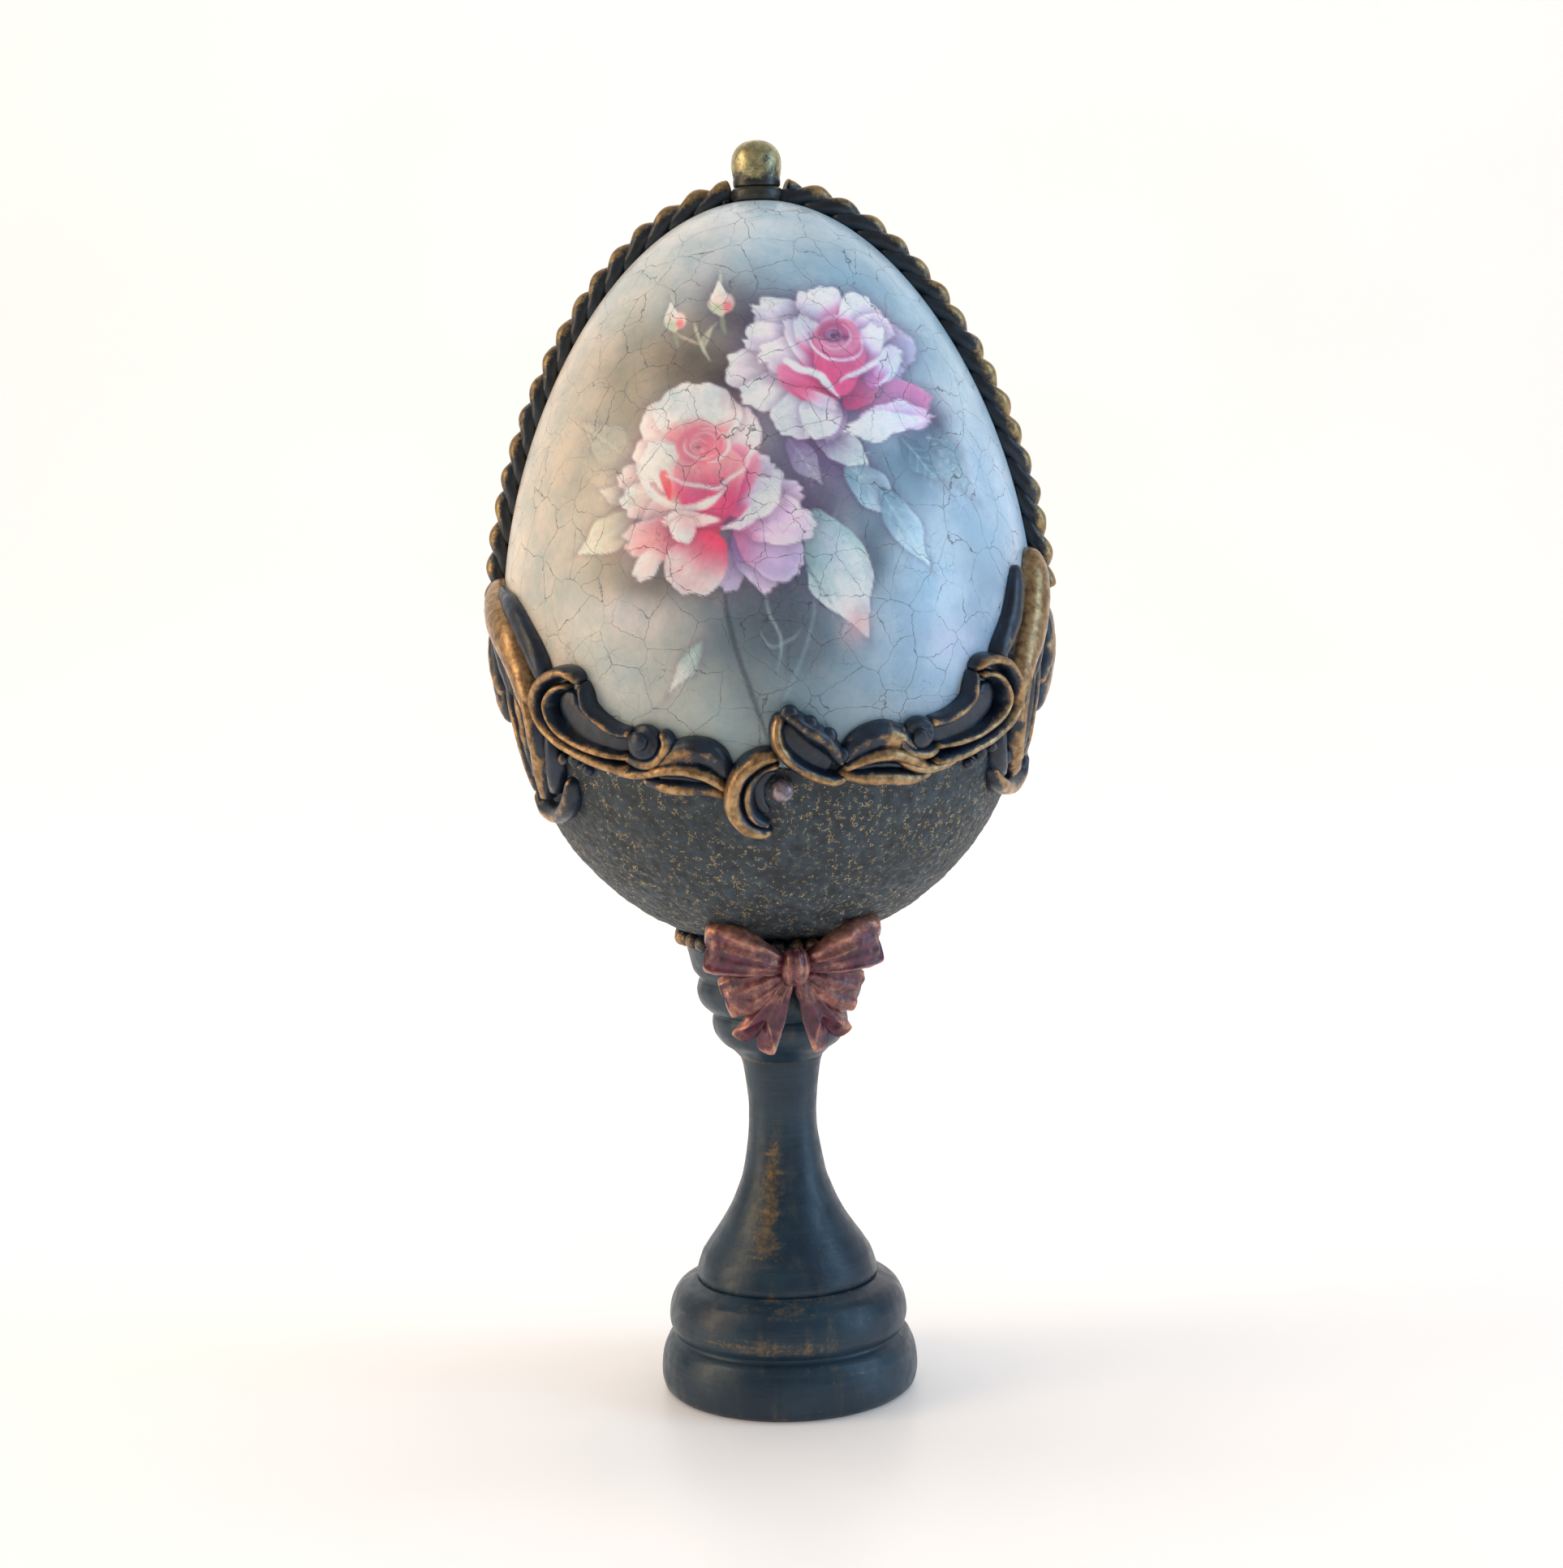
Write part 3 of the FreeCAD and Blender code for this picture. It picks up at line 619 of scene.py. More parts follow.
def ribbon(points, widths, thick, steps=60, across=44, pleats=(), curl=0.0, notch=0.0, seed=5):
    """Moulded ribbon in the bow's own space: x sideways, y outwards, z up.

    pleats: (place across from -1 to 1, width, depth) of each fold, which fans out from the knot."""
    c = through(points, steps)
    w = through(widths, steps)[:, None] / 2
    d = through(thick, steps)[:, None] / 2
    along = np.gradient(c, axis=0)
    along /= np.linalg.norm(along, axis=1, keepdims=True)
    outward = np.stack([c[:, 0] * 0.45, c[:, 1], 0 * c[:, 0]], -1)
    outward /= np.linalg.norm(outward, axis=1, keepdims=True)
    side = np.cross(outward, along)
    side /= np.linalg.norm(side, axis=1, keepdims=True)
    outward = np.cross(along, side)
    k = np.linspace(0, 2 * np.pi, across, endpoint=False)[None, :]
    v = np.cos(k)
    face = np.sin(k)
    s = np.linspace(0, 1, steps)[:, None]
    tip = (np.sqrt(np.clip(1 - ((s - 0.94) / 0.06).clip(0, 1) ** 2, 0, 1))
           * np.sqrt(np.clip(1 - ((0.06 - s) / 0.06).clip(0, 1) ** 2, 0, 1)))
    height = d * np.sign(face) * np.abs(face) ** 0.8 * np.where(face > 0, 1.45, 1.0)
    for place, wide, deep in pleats:
        fold = np.exp(-((v - place) / wide) ** 2) * smooth(0.0, 0.25, s) * (0.55 + 0.45 * s)
        height = height + np.where(face > -0.2, 1.2 * deep * fold, deep * 0.5 * fold)
    height = height + curl * (v ** 2) * s
    stretch = 1.0 + notch * (np.abs(v) - 0.55) * smooth(0.55, 1.0, s)
    base = c[:, None, :] + along[:, None, :] * ((stretch - 1.0) * 6.0)[..., None]
    p = (base + side[:, None, :] * (w * v * (0.25 + 0.75 * tip))[..., None]
         + outward[:, None, :] * (height * (0.2 + 0.8 * tip))[..., None])
    p = p * np.array([1.0, -1.0, 1.0])
    creases = 0.18 * grain(p * np.array([0.45, 1.0, 1.0]), 1.7, seed) + 0.10 * grain(p, 0.8, seed + 3)
    p += normals(p, False, True) * creases[..., None]
    return p


def bow_grid(p, mirror=False, base=0.30):
    """Part of the bow turned into place, with copper on its folds."""
    rub = base - 0.12 + 0.32 * convexity(p, False, True, 6) + 0.45 * cloud(p, 5.0, 14, 2)
    if mirror:
        p = p * np.array([-1.0, 1.0, 1.0])
    p = turned_about_z(p, BOW_TURN)
    return Grid(p, False, True, flip=mirror, rub=np.clip(rub, -0.5, 1.2))


def capped(p):
    """Closes both ends of a tube of points."""
    first = np.broadcast_to(p[0].mean(0), p[0].shape)
    last = np.broadcast_to(p[-1].mean(0), p[-1].shape)
    return np.concatenate([first[None], p, last[None]])


upper = [(1.6, 20.4, 80.0), (4.6, 21.4, 81.0), (8.2, 21.6, 82.2), (11.6, 20.7, 83.2), (14.6, 19.3, 83.5)]
upper_wide, upper_thick = [3.0, 5.4, 7.8, 9.2, 8.2], [2.0, 3.0, 3.2, 2.6, 1.4]
upper_folds = [(-0.62, 0.26, 0.75), (-0.05, 0.15, 0.9), (0.42, 0.20, 0.45), (0.85, 0.12, 0.7)]
lower = [(1.4, 19.6, 78.6), (4.4, 19.4, 77.0), (7.8, 18.2, 75.4), (11.4, 16.2, 74.0)]
lower_wide, lower_thick = [2.6, 5.4, 7.8, 7.2], [1.8, 2.4, 2.4, 1.4]
lower_folds = [(-0.7, 0.14, 0.7), (-0.15, 0.26, 0.75), (0.55, 0.16, 0.5)]
tail = [(0.8, 19.6, 78.4), (2.4, 18.8, 74.8), (4.2, 17.4, 71.0), (6.0, 16.4, 67.4)]
tail_wide, tail_thick = [2.4, 4.2, 6.4, 8.6], [1.8, 2.2, 2.0, 1.5]
tail_folds = [(-0.5, 0.22, 0.75), (0.25, 0.25, 0.85), (0.85, 0.2, 0.5)]
for word, flip in (("left", True), ("right", False)):
    s = 7 if flip else 31
    p = ribbon(upper, upper_wide, upper_thick, pleats=upper_folds, curl=0.5, notch=0.22, seed=s)
    piece("bow_upper_" + word, [bow_grid(capped(p), flip)], PLUM, "stand", "bow_loop_" + word,
          subdivide=1)
    p = ribbon(lower, lower_wide, lower_thick, pleats=lower_folds, curl=0.3, notch=0.2, seed=s + 4)
    piece("bow_lower_" + word, [bow_grid(capped(p), flip)], PLUM, "stand", "bow_lower_loop_" + word,
          subdivide=1)
    p = ribbon(tail, tail_wide, tail_thick, pleats=tail_folds, curl=0.2, notch=1.0, seed=s + 9)
    piece("bow_tail_" + word + "_end", [bow_grid(capped(p), flip)], PLUM, "stand", "bow_tail_" + word,
          subdivide=1)
p = ribbon([(0.1, 20.2, 77.6), (0.0, 21.9, 79.0), (0.0, 22.2, 80.6), (0.0, 21.2, 82.4)],
           [3.4, 5.0, 5.0, 3.8],
           [2.0, 3.4, 3.4, 2.2], 40, 40, [(-0.55, 0.16, 0.35), (0.1, 0.16, 0.45), (0.65, 0.16, 0.35)],
           seed=51)
piece("bow_centre", [bow_grid(capped(p), False, 0.36)], PLUM, "stand", "bow_knot",
      subdivide=1)


# ---------------------------------------------------------------- egg: coat, ropes, finial

def picture_edge(x):
    """Height of the wavy line under the trim where the picture stops."""
    xs = [-47, -41, -34, -21, -8, 0, 9, 25, 35, 41, 47]
    zs = [144, 131, 122.5, 118, 115, 116.5, 115.5, 118, 122, 129.5, 144]
    return np.interp(x, xs, zs)


def coat_top(azimuth):
    """Height of the coat's upper edge all the way round."""
    a = np.radians(azimuth - TRIM_TURN)
    return picture_edge(46.0 * np.sin(a))


az = np.linspace(0, 360, 620, endpoint=False)
rows = np.linspace(0, 1, 150)[:, None]
top = coat_top(az)[None, :]
t_top = np.arccos(np.clip((top - EGG_MID) / EGG_HALF, -1, 1))
t = mix(t_top, math.radians(174.8), rows)
z = EGG_MID + EGG_HALF * np.cos(t)
flat = egg_at(az[None, :], z, COAT)
height = 0.55 * grain(flat, 1.3, 41) + 0.45 * grain(flat, 0.75, 43) + 0.3 * grain(flat, 2.6, 47)
fade = smooth(0.0, 0.05, rows) * smooth(1.0, 0.9, rows)
p = egg_at(az[None, :], z, COAT - 0.05 + 0.24 * height * fade)
rim = egg_at(az[None, :], z[:1], 0.05)
p = np.concatenate([rim, p])
height = np.concatenate([height[:1], height])
piece("texture", [Grid(p, False, True, height=height)], PASTE, "egg", "texture_coat")


def rope_strands(side, seed):
    """Two fat strands twisted over a dark core, from the finial down to the trim on side -1 or 1."""
    pitch, strand_radius, core_radius = 10.6, 1.60, 1.25
    out_swing, side_swing = 0.86, 0.82
    lift = PICTURE + 1.47
    t = np.radians(np.linspace(6.7, 92.3, 900))
    r, z = egg_profile(t, lift)
    run = np.r_[0, np.cumsum(np.hypot(np.diff(r), np.diff(z)))]
    steps = 560
    even = np.interp(np.linspace(0, run[-1], steps), run, t)
    r, z = egg_profile(even, lift)
    r_out, z_out = egg_profile(even, lift + 1)
    centre = np.stack([side * r, 0 * r, z], -1)
    normal = np.stack([side * (r_out - r), 0 * r, z_out - z], -1)
    across = np.tile([0.0, 1.0, 0.0], (steps, 1))
    travel = np.linspace(0, run[-1], steps)
    wobble = 1.0 + 0.05 * np.sin(travel * 0.7 + seed)
    around = np.linspace(0, 2 * np.pi, 20, endpoint=False)
    out = []
    for strand in (0.0, math.pi):
        turn = side * 2 * math.pi * travel / pitch + strand
        mid = centre + normal * (out_swing * np.cos(turn) * wobble)[:, None]
        mid = mid + across * (side_swing * np.sin(turn) * wobble)[:, None]
        along = np.gradient(mid, axis=0)
        along /= np.linalg.norm(along, axis=1, keepdims=True)
        a = np.cross(along, across)
        a /= np.linalg.norm(a, axis=1, keepdims=True)
        b = np.cross(along, a)
        bulge = 0.90 + 0.24 * np.cos(turn) ** 2
        fat = (strand_radius * bulge + 0.05 * np.cos(travel * 1.1 + strand + seed))[:, None]
        ring = (a[:, None] * (fat * np.cos(around))[..., None]
                + b[:, None] * (fat * np.sin(around))[..., None])
        p = mid[:, None] + ring
        p += normals(p, False, True) * (0.07 * grain(p, 1.8, seed))[..., None]
        outside = ((p - centre[:, None]) * normal[:, None]).sum(-1) / 2.1
        rub = 0.20 + 0.55 * outside + 0.25 * cloud(p, 5.0, seed + 3, 2)
        rub = np.concatenate([rub[:1], rub, rub[-1:]])
        out.append(Grid(turned_about_z(capped(p), TRIM_TURN), False, True, flip=True, rub=rub))
    around = np.linspace(0, 2 * np.pi, 16, endpoint=False)[:, None]
    ring = core_radius * (normal[:, None] * np.cos(around) + across[:, None] * np.sin(around))
    p = capped((centre - 0.5 * normal)[:, None] + ring)
    out.append(Grid(turned_about_z(p, TRIM_TURN), False, True, flip=side > 0, rub=-0.4))
    return out


piece("rope_trim_right", rope_strands(1, 3), ROPE, "egg", "rope_right")
piece("rope_trim_left", rope_strands(-1, 11), ROPE, "egg", "rope_left")

ball_line = rounded([[(3.2, 211.62), (3.85, 211.62)],
                     [(4.0, 211.8), (4.05, 212.6), (4.02, 213.2), (4.22, 214.2), (4.33, 215.4),
                     (4.18, 216.7), (3.62, 217.95), (2.7, 218.85), (1.5, 219.4), (0.0, 219.58)]])
p = lathe(ball_line, 90, 120, 0.05, 33, (3.0, 1.2))
wax = 0.25 + 0.35 * smooth(212.2, 215.0, p[..., 2]) - 0.3 * smooth(212.6, 211.9, p[..., 2])
piece("finial_top", [Grid(p, False, True, rub=wax + 0.2 * cloud(p, 3.0, 5, 2))], FINIAL, "egg",
      "finial_ball")
collar_line = rounded([[(3.0, 209.2), (4.3, 209.2)],
                       [(4.45, 209.4), (4.62, 210.1), (4.5, 210.9), (4.15, 211.35), (3.7, 211.6)],
                       [(3.6, 211.6), (1.3, 211.6)]])
p = lathe(collar_line, 50, 120, 0.06, 35, (2.5, 1.2))
piece("finial_ring", [Grid(p, False, True, rub=-0.15 + 0.5 * convexity(p, False, True, 2))], FINIAL,
      "egg", "finial_collar")


# ---------------------------------------------------------------- pictures

class Canvas:
    """Paints in millimetres seen from the front: x to the right and z up.

    Colours are screen values up to 255."""

    def __init__(self, x, z, colours=None):
        self.x, self.z = x, z
        self.rgb = np.zeros((x.size, 3)) if colours is None else colours

    def placed(self, x, z, mirror=1.0, size=1.0):
        """The same picture with its origin moved to (x, z)."""
        return Canvas(mirror * (self.x - x) / size, (self.z - z) / size, self.rgb)

    def near(self, x, z, reach):
        return np.nonzero((np.abs(self.x - x) < reach) & (np.abs(self.z - z) < reach))[0]

    def wobble(self, i, size, amount, seed):
        p = np.stack([self.x[i], self.z[i], 0 * self.x[i]], -1)
        return amount * cloud(p, size, seed, 2), amount * cloud(p, size, seed + 50, 2)

    def lay(self, i, colour, alpha):
        a = np.clip(alpha, 0, 1)[:, None]
        self.rgb[i] = self.rgb[i] * (1 - a) + colour * a

    def fog(self, x, z, wide, high, colour, alpha, seed=1):
        i = self.near(x, z, 2.4 * max(wide, high))
        a, b = self.wobble(i, 7.0, 2.2, seed)
        d = ((self.x[i] + a - x) / wide) ** 2 + ((self.z[i] + b - z) / high) ** 2
        self.lay(i, np.array(colour, float), alpha * np.exp(-d))

    def petal(self, root, tip, width, base, end, seed, ruffle=0.5, rim=0.5, turn=(0.15, 0.75), point=0.0,
              shadow=0.4, alpha=1.0, lip=(255, 253, 253)):
        """A petal or leaf from root to tip, coloured from base to end and rimmed with lip."""
        root, tip = np.array(root, float), np.array(tip, float)
        length = np.hypot(*(tip - root))
        u_dir = (tip - root) / length
        i = self.near(*((root + tip) / 2), length / 2 + width / 2 + 4)
        wx, wz = self.wobble(i, 3.4, 0.35 + 0.5 * ruffle, seed)
        dx, dz = self.x[i] + wx - root[0], self.z[i] + wz - root[1]
        u = (dx * u_dir[0] + dz * u_dir[1]) / length
        v = (dz * u_dir[0] - dx * u_dir[1]) / (width / 2)
        shape = np.clip(0.62 + 0.5 * u, 0.35, 1.1) * (1 - point * smooth(0.45, 1.0, u))
        q = np.sqrt(((u - 0.5) / 0.5) ** 2 + (v / shape) ** 2)
        around = np.arctan2(v, u - 0.5)
        edge = ruffle * (0.5 * np.sin(around * 5 + seed) + 0.5
                         * np.sin(around * 9 + 2.3 * seed)) * smooth(0.2, 0.8, u)
        d = (1 - q) * min(length, width) / 2 + 0.34 * edge
        if shadow:
            ring = np.exp(-((np.clip(-d, 0, 9)) / 1.0) ** 1.3) * (d < 0.3)
            self.lay(i, np.array([88, 62, 96.0]), shadow * 0.75 * ring * alpha)
        t = smooth(turn[0], turn[1], u + 0.10 * grain(np.stack([v * 2.4, u * 0.7, 0 * u], -1), 1.0,
                                                      seed + 9))
        colour = mix(np.array(base, float), np.array(end, float), t[:, None])
        veins = grain(np.stack([v * width / (0.6 + u) / 0.9, u * length / 7, 0 * u + seed], -1), 1.0,
                      seed + 4)
        colour = colour * (1 + 0.035 * veins[:, None])
        fold = cloud(np.stack([self.x[i], self.z[i], 0 * u], -1), 3.2, seed + 21, 2)
        colour = colour * (1 - 0.07 * np.clip(fold, 0, 1)[:, None] * np.array([1.0, 1.15, 0.8]))
        inner = rim * np.exp(-np.clip(d, 0, 9) / 0.55) * smooth(0.25, 0.6, u)
        colour = mix(colour, np.array(lip, float), np.clip(inner, 0, 1)[:, None])
        self.lay(i, colour, alpha * smooth(-0.16, 0.2, d))

    def stroke(self, points, width, colour, alpha=1.0, taper=(0.3, 0.3), ruffle=0.0, soft=0.25, seed=3):
        line = through(points, 12 * len(points))
        w = mix(mix(taper[0], 1.0, smooth(0, 0.3, np.linspace(0, 1, len(line)))), taper[1],
                smooth(0.65, 1.0, np.linspace(0, 1, len(line)))) * width / 2
        middle = line.mean(0)
        i = self.near(*middle, np.abs(line - middle).max() + 3)
        wx, wz = self.wobble(i, 2.0, 0.12 + ruffle, seed)
        d = np.full(len(i), 9.0)
        for (px, pz), r in zip(line, w):
            d = np.minimum(d, np.hypot(self.x[i] + wx - px, self.z[i] + wz - pz) - r)
        self.lay(i, np.array(colour, float), alpha * smooth(soft, -soft, d))

    def disc(self, x, z, wide, high, colour, alpha=1.0, soft=0.35, seed=2):
        i = self.near(x, z, max(wide, high) * 1.3 + 1)
        wx, wz = self.wobble(i, 2.2, 0.3, seed)
        d = (1 - np.hypot((self.x[i] + wx - x) / wide, (self.z[i] + wz - z) / high)) * min(wide, high)
        self.lay(i, np.array(colour, float), alpha * smooth(-soft, soft, d))


def ring_arc(x, z, wide, high, start, end):
    """Points along part of an ellipse, between two angles in degrees."""
    return [(x + wide * math.cos(math.radians(a)), z + high * math.sin(math.radians(a)))
            for a in np.linspace(start, end, 7)]


def lilac_rose(c):
    """Open rose with white-lilac outer petals and a magenta heart, round its own centre."""
    white = (244, 240, 252)
    c.petal((-4, -7), (-17.6, -4.6), 8.5, (228, 140, 172), (246, 238, 242), 11, 0.7, turn=(0.05, 0.5))
    c.petal((-4, -8), (-15.2, -9.6), 6.5, (232, 190, 212), (244, 240, 244), 12, 0.6, turn=(0.0, 0.4))
    c.petal((1, -8), (-1.6, -16.6), 4.6, (176, 140, 188), (206, 184, 220), 14, 0.4, rim=0.3)
    c.petal((0, -8), (-9.2, -15.4), 8.6, (226, 214, 232), (243, 242, 248), 13, 0.8, turn=(0.1, 0.5))
    c.petal((0, -8), (-4.6, -16.0), 7.6, (214, 190, 222), (243, 244, 250), 15, 0.8, turn=(0.1, 0.55))
    c.petal((2, 0), (13.4, -3.2), 8.6, (226, 204, 234), (206, 198, 226), 16, 0.6, rim=0.2)
    c.petal((4, -4), (11.4, -6.9), 5.4, (206, 160, 206), (214, 206, 232), 17, 0.6, rim=0.3)
    c.petal((0.5, -9.5), (15.6, -11.6), 8.4, (180, 110, 158), (214, 128, 178), 18, 0.4, turn=(0.1, 0.6),
            rim=0.3)
    c.petal((3.5, -13.0), (15.4, -13.4), 5.0, (238, 214, 236), (232, 200, 232), 19, 0.7, rim=0.3)
    c.petal((14.6, -13.4), (1.4, -15.8), 4.6, (240, 220, 240), (246, 242, 252), 20, 0.9, shadow=0.2)
    c.petal((0, 1), (-13.0, 4.6), 6.6, (240, 190, 214), white, 21, 0.9, turn=(0.1, 0.45))
    c.petal((0, 0), (-3.3, 8.0), 8.2, (226, 140, 180), (240, 236, 250), 22, 0.8, turn=(0.28, 0.62))
    c.petal((1, 0), (7.0, 5.6), 8.0, (228, 206, 236), (240, 238, 252), 23, 0.7, turn=(0.2, 0.5))
    c.petal((2, -1), (9.6, 2.4), 6.5, (228, 190, 226), (236, 228, 248), 24, 0.8, turn=(0.3, 0.6))
    c.petal((-1, -1), (-14.2, 0.0), 6.8, (238, 178, 206), white, 25, 0.9, turn=(0.1, 0.4))
    c.petal((-1, -2), (-12.4, -3.4), 6.2, (236, 184, 208), (244, 240, 250), 26, 0.8, turn=(0.1, 0.4))
    c.petal((0.6, -10.4), (-9.4, -5.2), 6.0, (224, 92, 136), (222, 128, 168), 27, 0.3, rim=0.15,
            turn=(0.3, 0.9))
    c.petal((-7.0, -8.6), (0.2, -11.6), 2.2, (226, 120, 160), (230, 206, 226), 28, 0.3, shadow=0.2)
    c.petal((1.2, -12.0), (6.6, -5.6), 6.0, (198, 84, 132), (214, 130, 176), 29, 0.3, rim=0.2,
            turn=(0.4, 1.0))
    c.petal((5.4, -8.4), (10.2, -1.8), 5.0, (202, 120, 176), (238, 226, 248), 30, 0.6, turn=(0.2, 0.6))
    c.petal((4.2, -6.0), (7.0, 1.8), 5.0, (212, 120, 168), (238, 224, 246), 31, 0.6, turn=(0.3, 0.65))
    c.petal((-0.6, -7.0), (-7.4, 2.6), 5.4, (222, 140, 180), (242, 232, 248), 32, 0.6, turn=(0.3, 0.6))
    c.petal((-0.6, -8.0), (-5.2, 3.4), 4.8, (204, 84, 136), (240, 220, 240), 33, 0.5, turn=(0.45, 0.75))
    c.petal((0.6, -9.9), (0.8, 1.2), 9.6, (226, 100, 146), (208, 108, 152), 34, 0.2, rim=0.1,
            turn=(0.2, 0.9))
    c.stroke([(-7.9, -4.1), (-5.8, -5.2), (-2.7, -6.5), (-1.2, -7.9), (0.6, -10.0)], 1.15,
             (248, 242, 252), 0.95,
             (0.8, 0.25), 0.2, seed=4)
    c.stroke([(0.7, -7.6), (1.9, -6.9), (3.5, -6.1), (5.3, -5.2), (7.3, -4.0), (8.6, -2.4)], 0.75,
             (246, 238, 252), 0.9,
             (0.3, 0.8), 0.2, seed=5)
    c.stroke([(6.7, -8.3), (9.0, -6.9), (10.0, -5.2), (10.2, -3.4)], 0.8, (240, 230, 250), 0.9,
             (0.3, 0.7), 0.2, seed=6)
    c.disc(0.7, -0.2, 4.0, 3.1, (222, 140, 172), 0.95)
    c.stroke([(-5.3, 1.6), (-4.3, -0.2), (-3.2, -2.1), (-1.4, -3.5), (0.7, -4.1), (3.1, -3.7),
              (4.4, -2.4), (4.5, -0.4)],
             0.42, (250, 240, 250), 0.95, (0.5, 0.3), 0.1, seed=7)
    c.stroke(ring_arc(0.8, 0.2, 3.8, 2.9, 30, 150), 0.5, (236, 196, 220), 0.8, seed=8)
    c.disc(0.2, 0.1, 2.7, 2.4, (200, 104, 142), 0.95)
    c.stroke(ring_arc(0.2, 0.0, 2.5, 2.2, -170, 60), 0.34, (240, 206, 226), 0.9, seed=9)
    c.disc(0.1, -0.9, 1.9, 1.0, (226, 160, 190), 0.8)
    c.disc(0.0, 0.1, 1.5, 1.2, (136, 82, 122), 0.95)
    c.stroke(ring_arc(0.0, 0.1, 1.3, 1.05, -40, 220), 0.26, (202, 150, 190), 0.9, seed=10)
    c.stroke(ring_arc(0.0, 0.0, 0.75, 0.6, 60, 330), 0.24, (210, 170, 204), 0.9, seed=11)
    c.disc(0.05, 0.05, 0.35, 0.3, (86, 58, 98), 0.9)
    c.disc(1.9, -0.3, 0.5, 0.5, (110, 66, 112), 0.6)


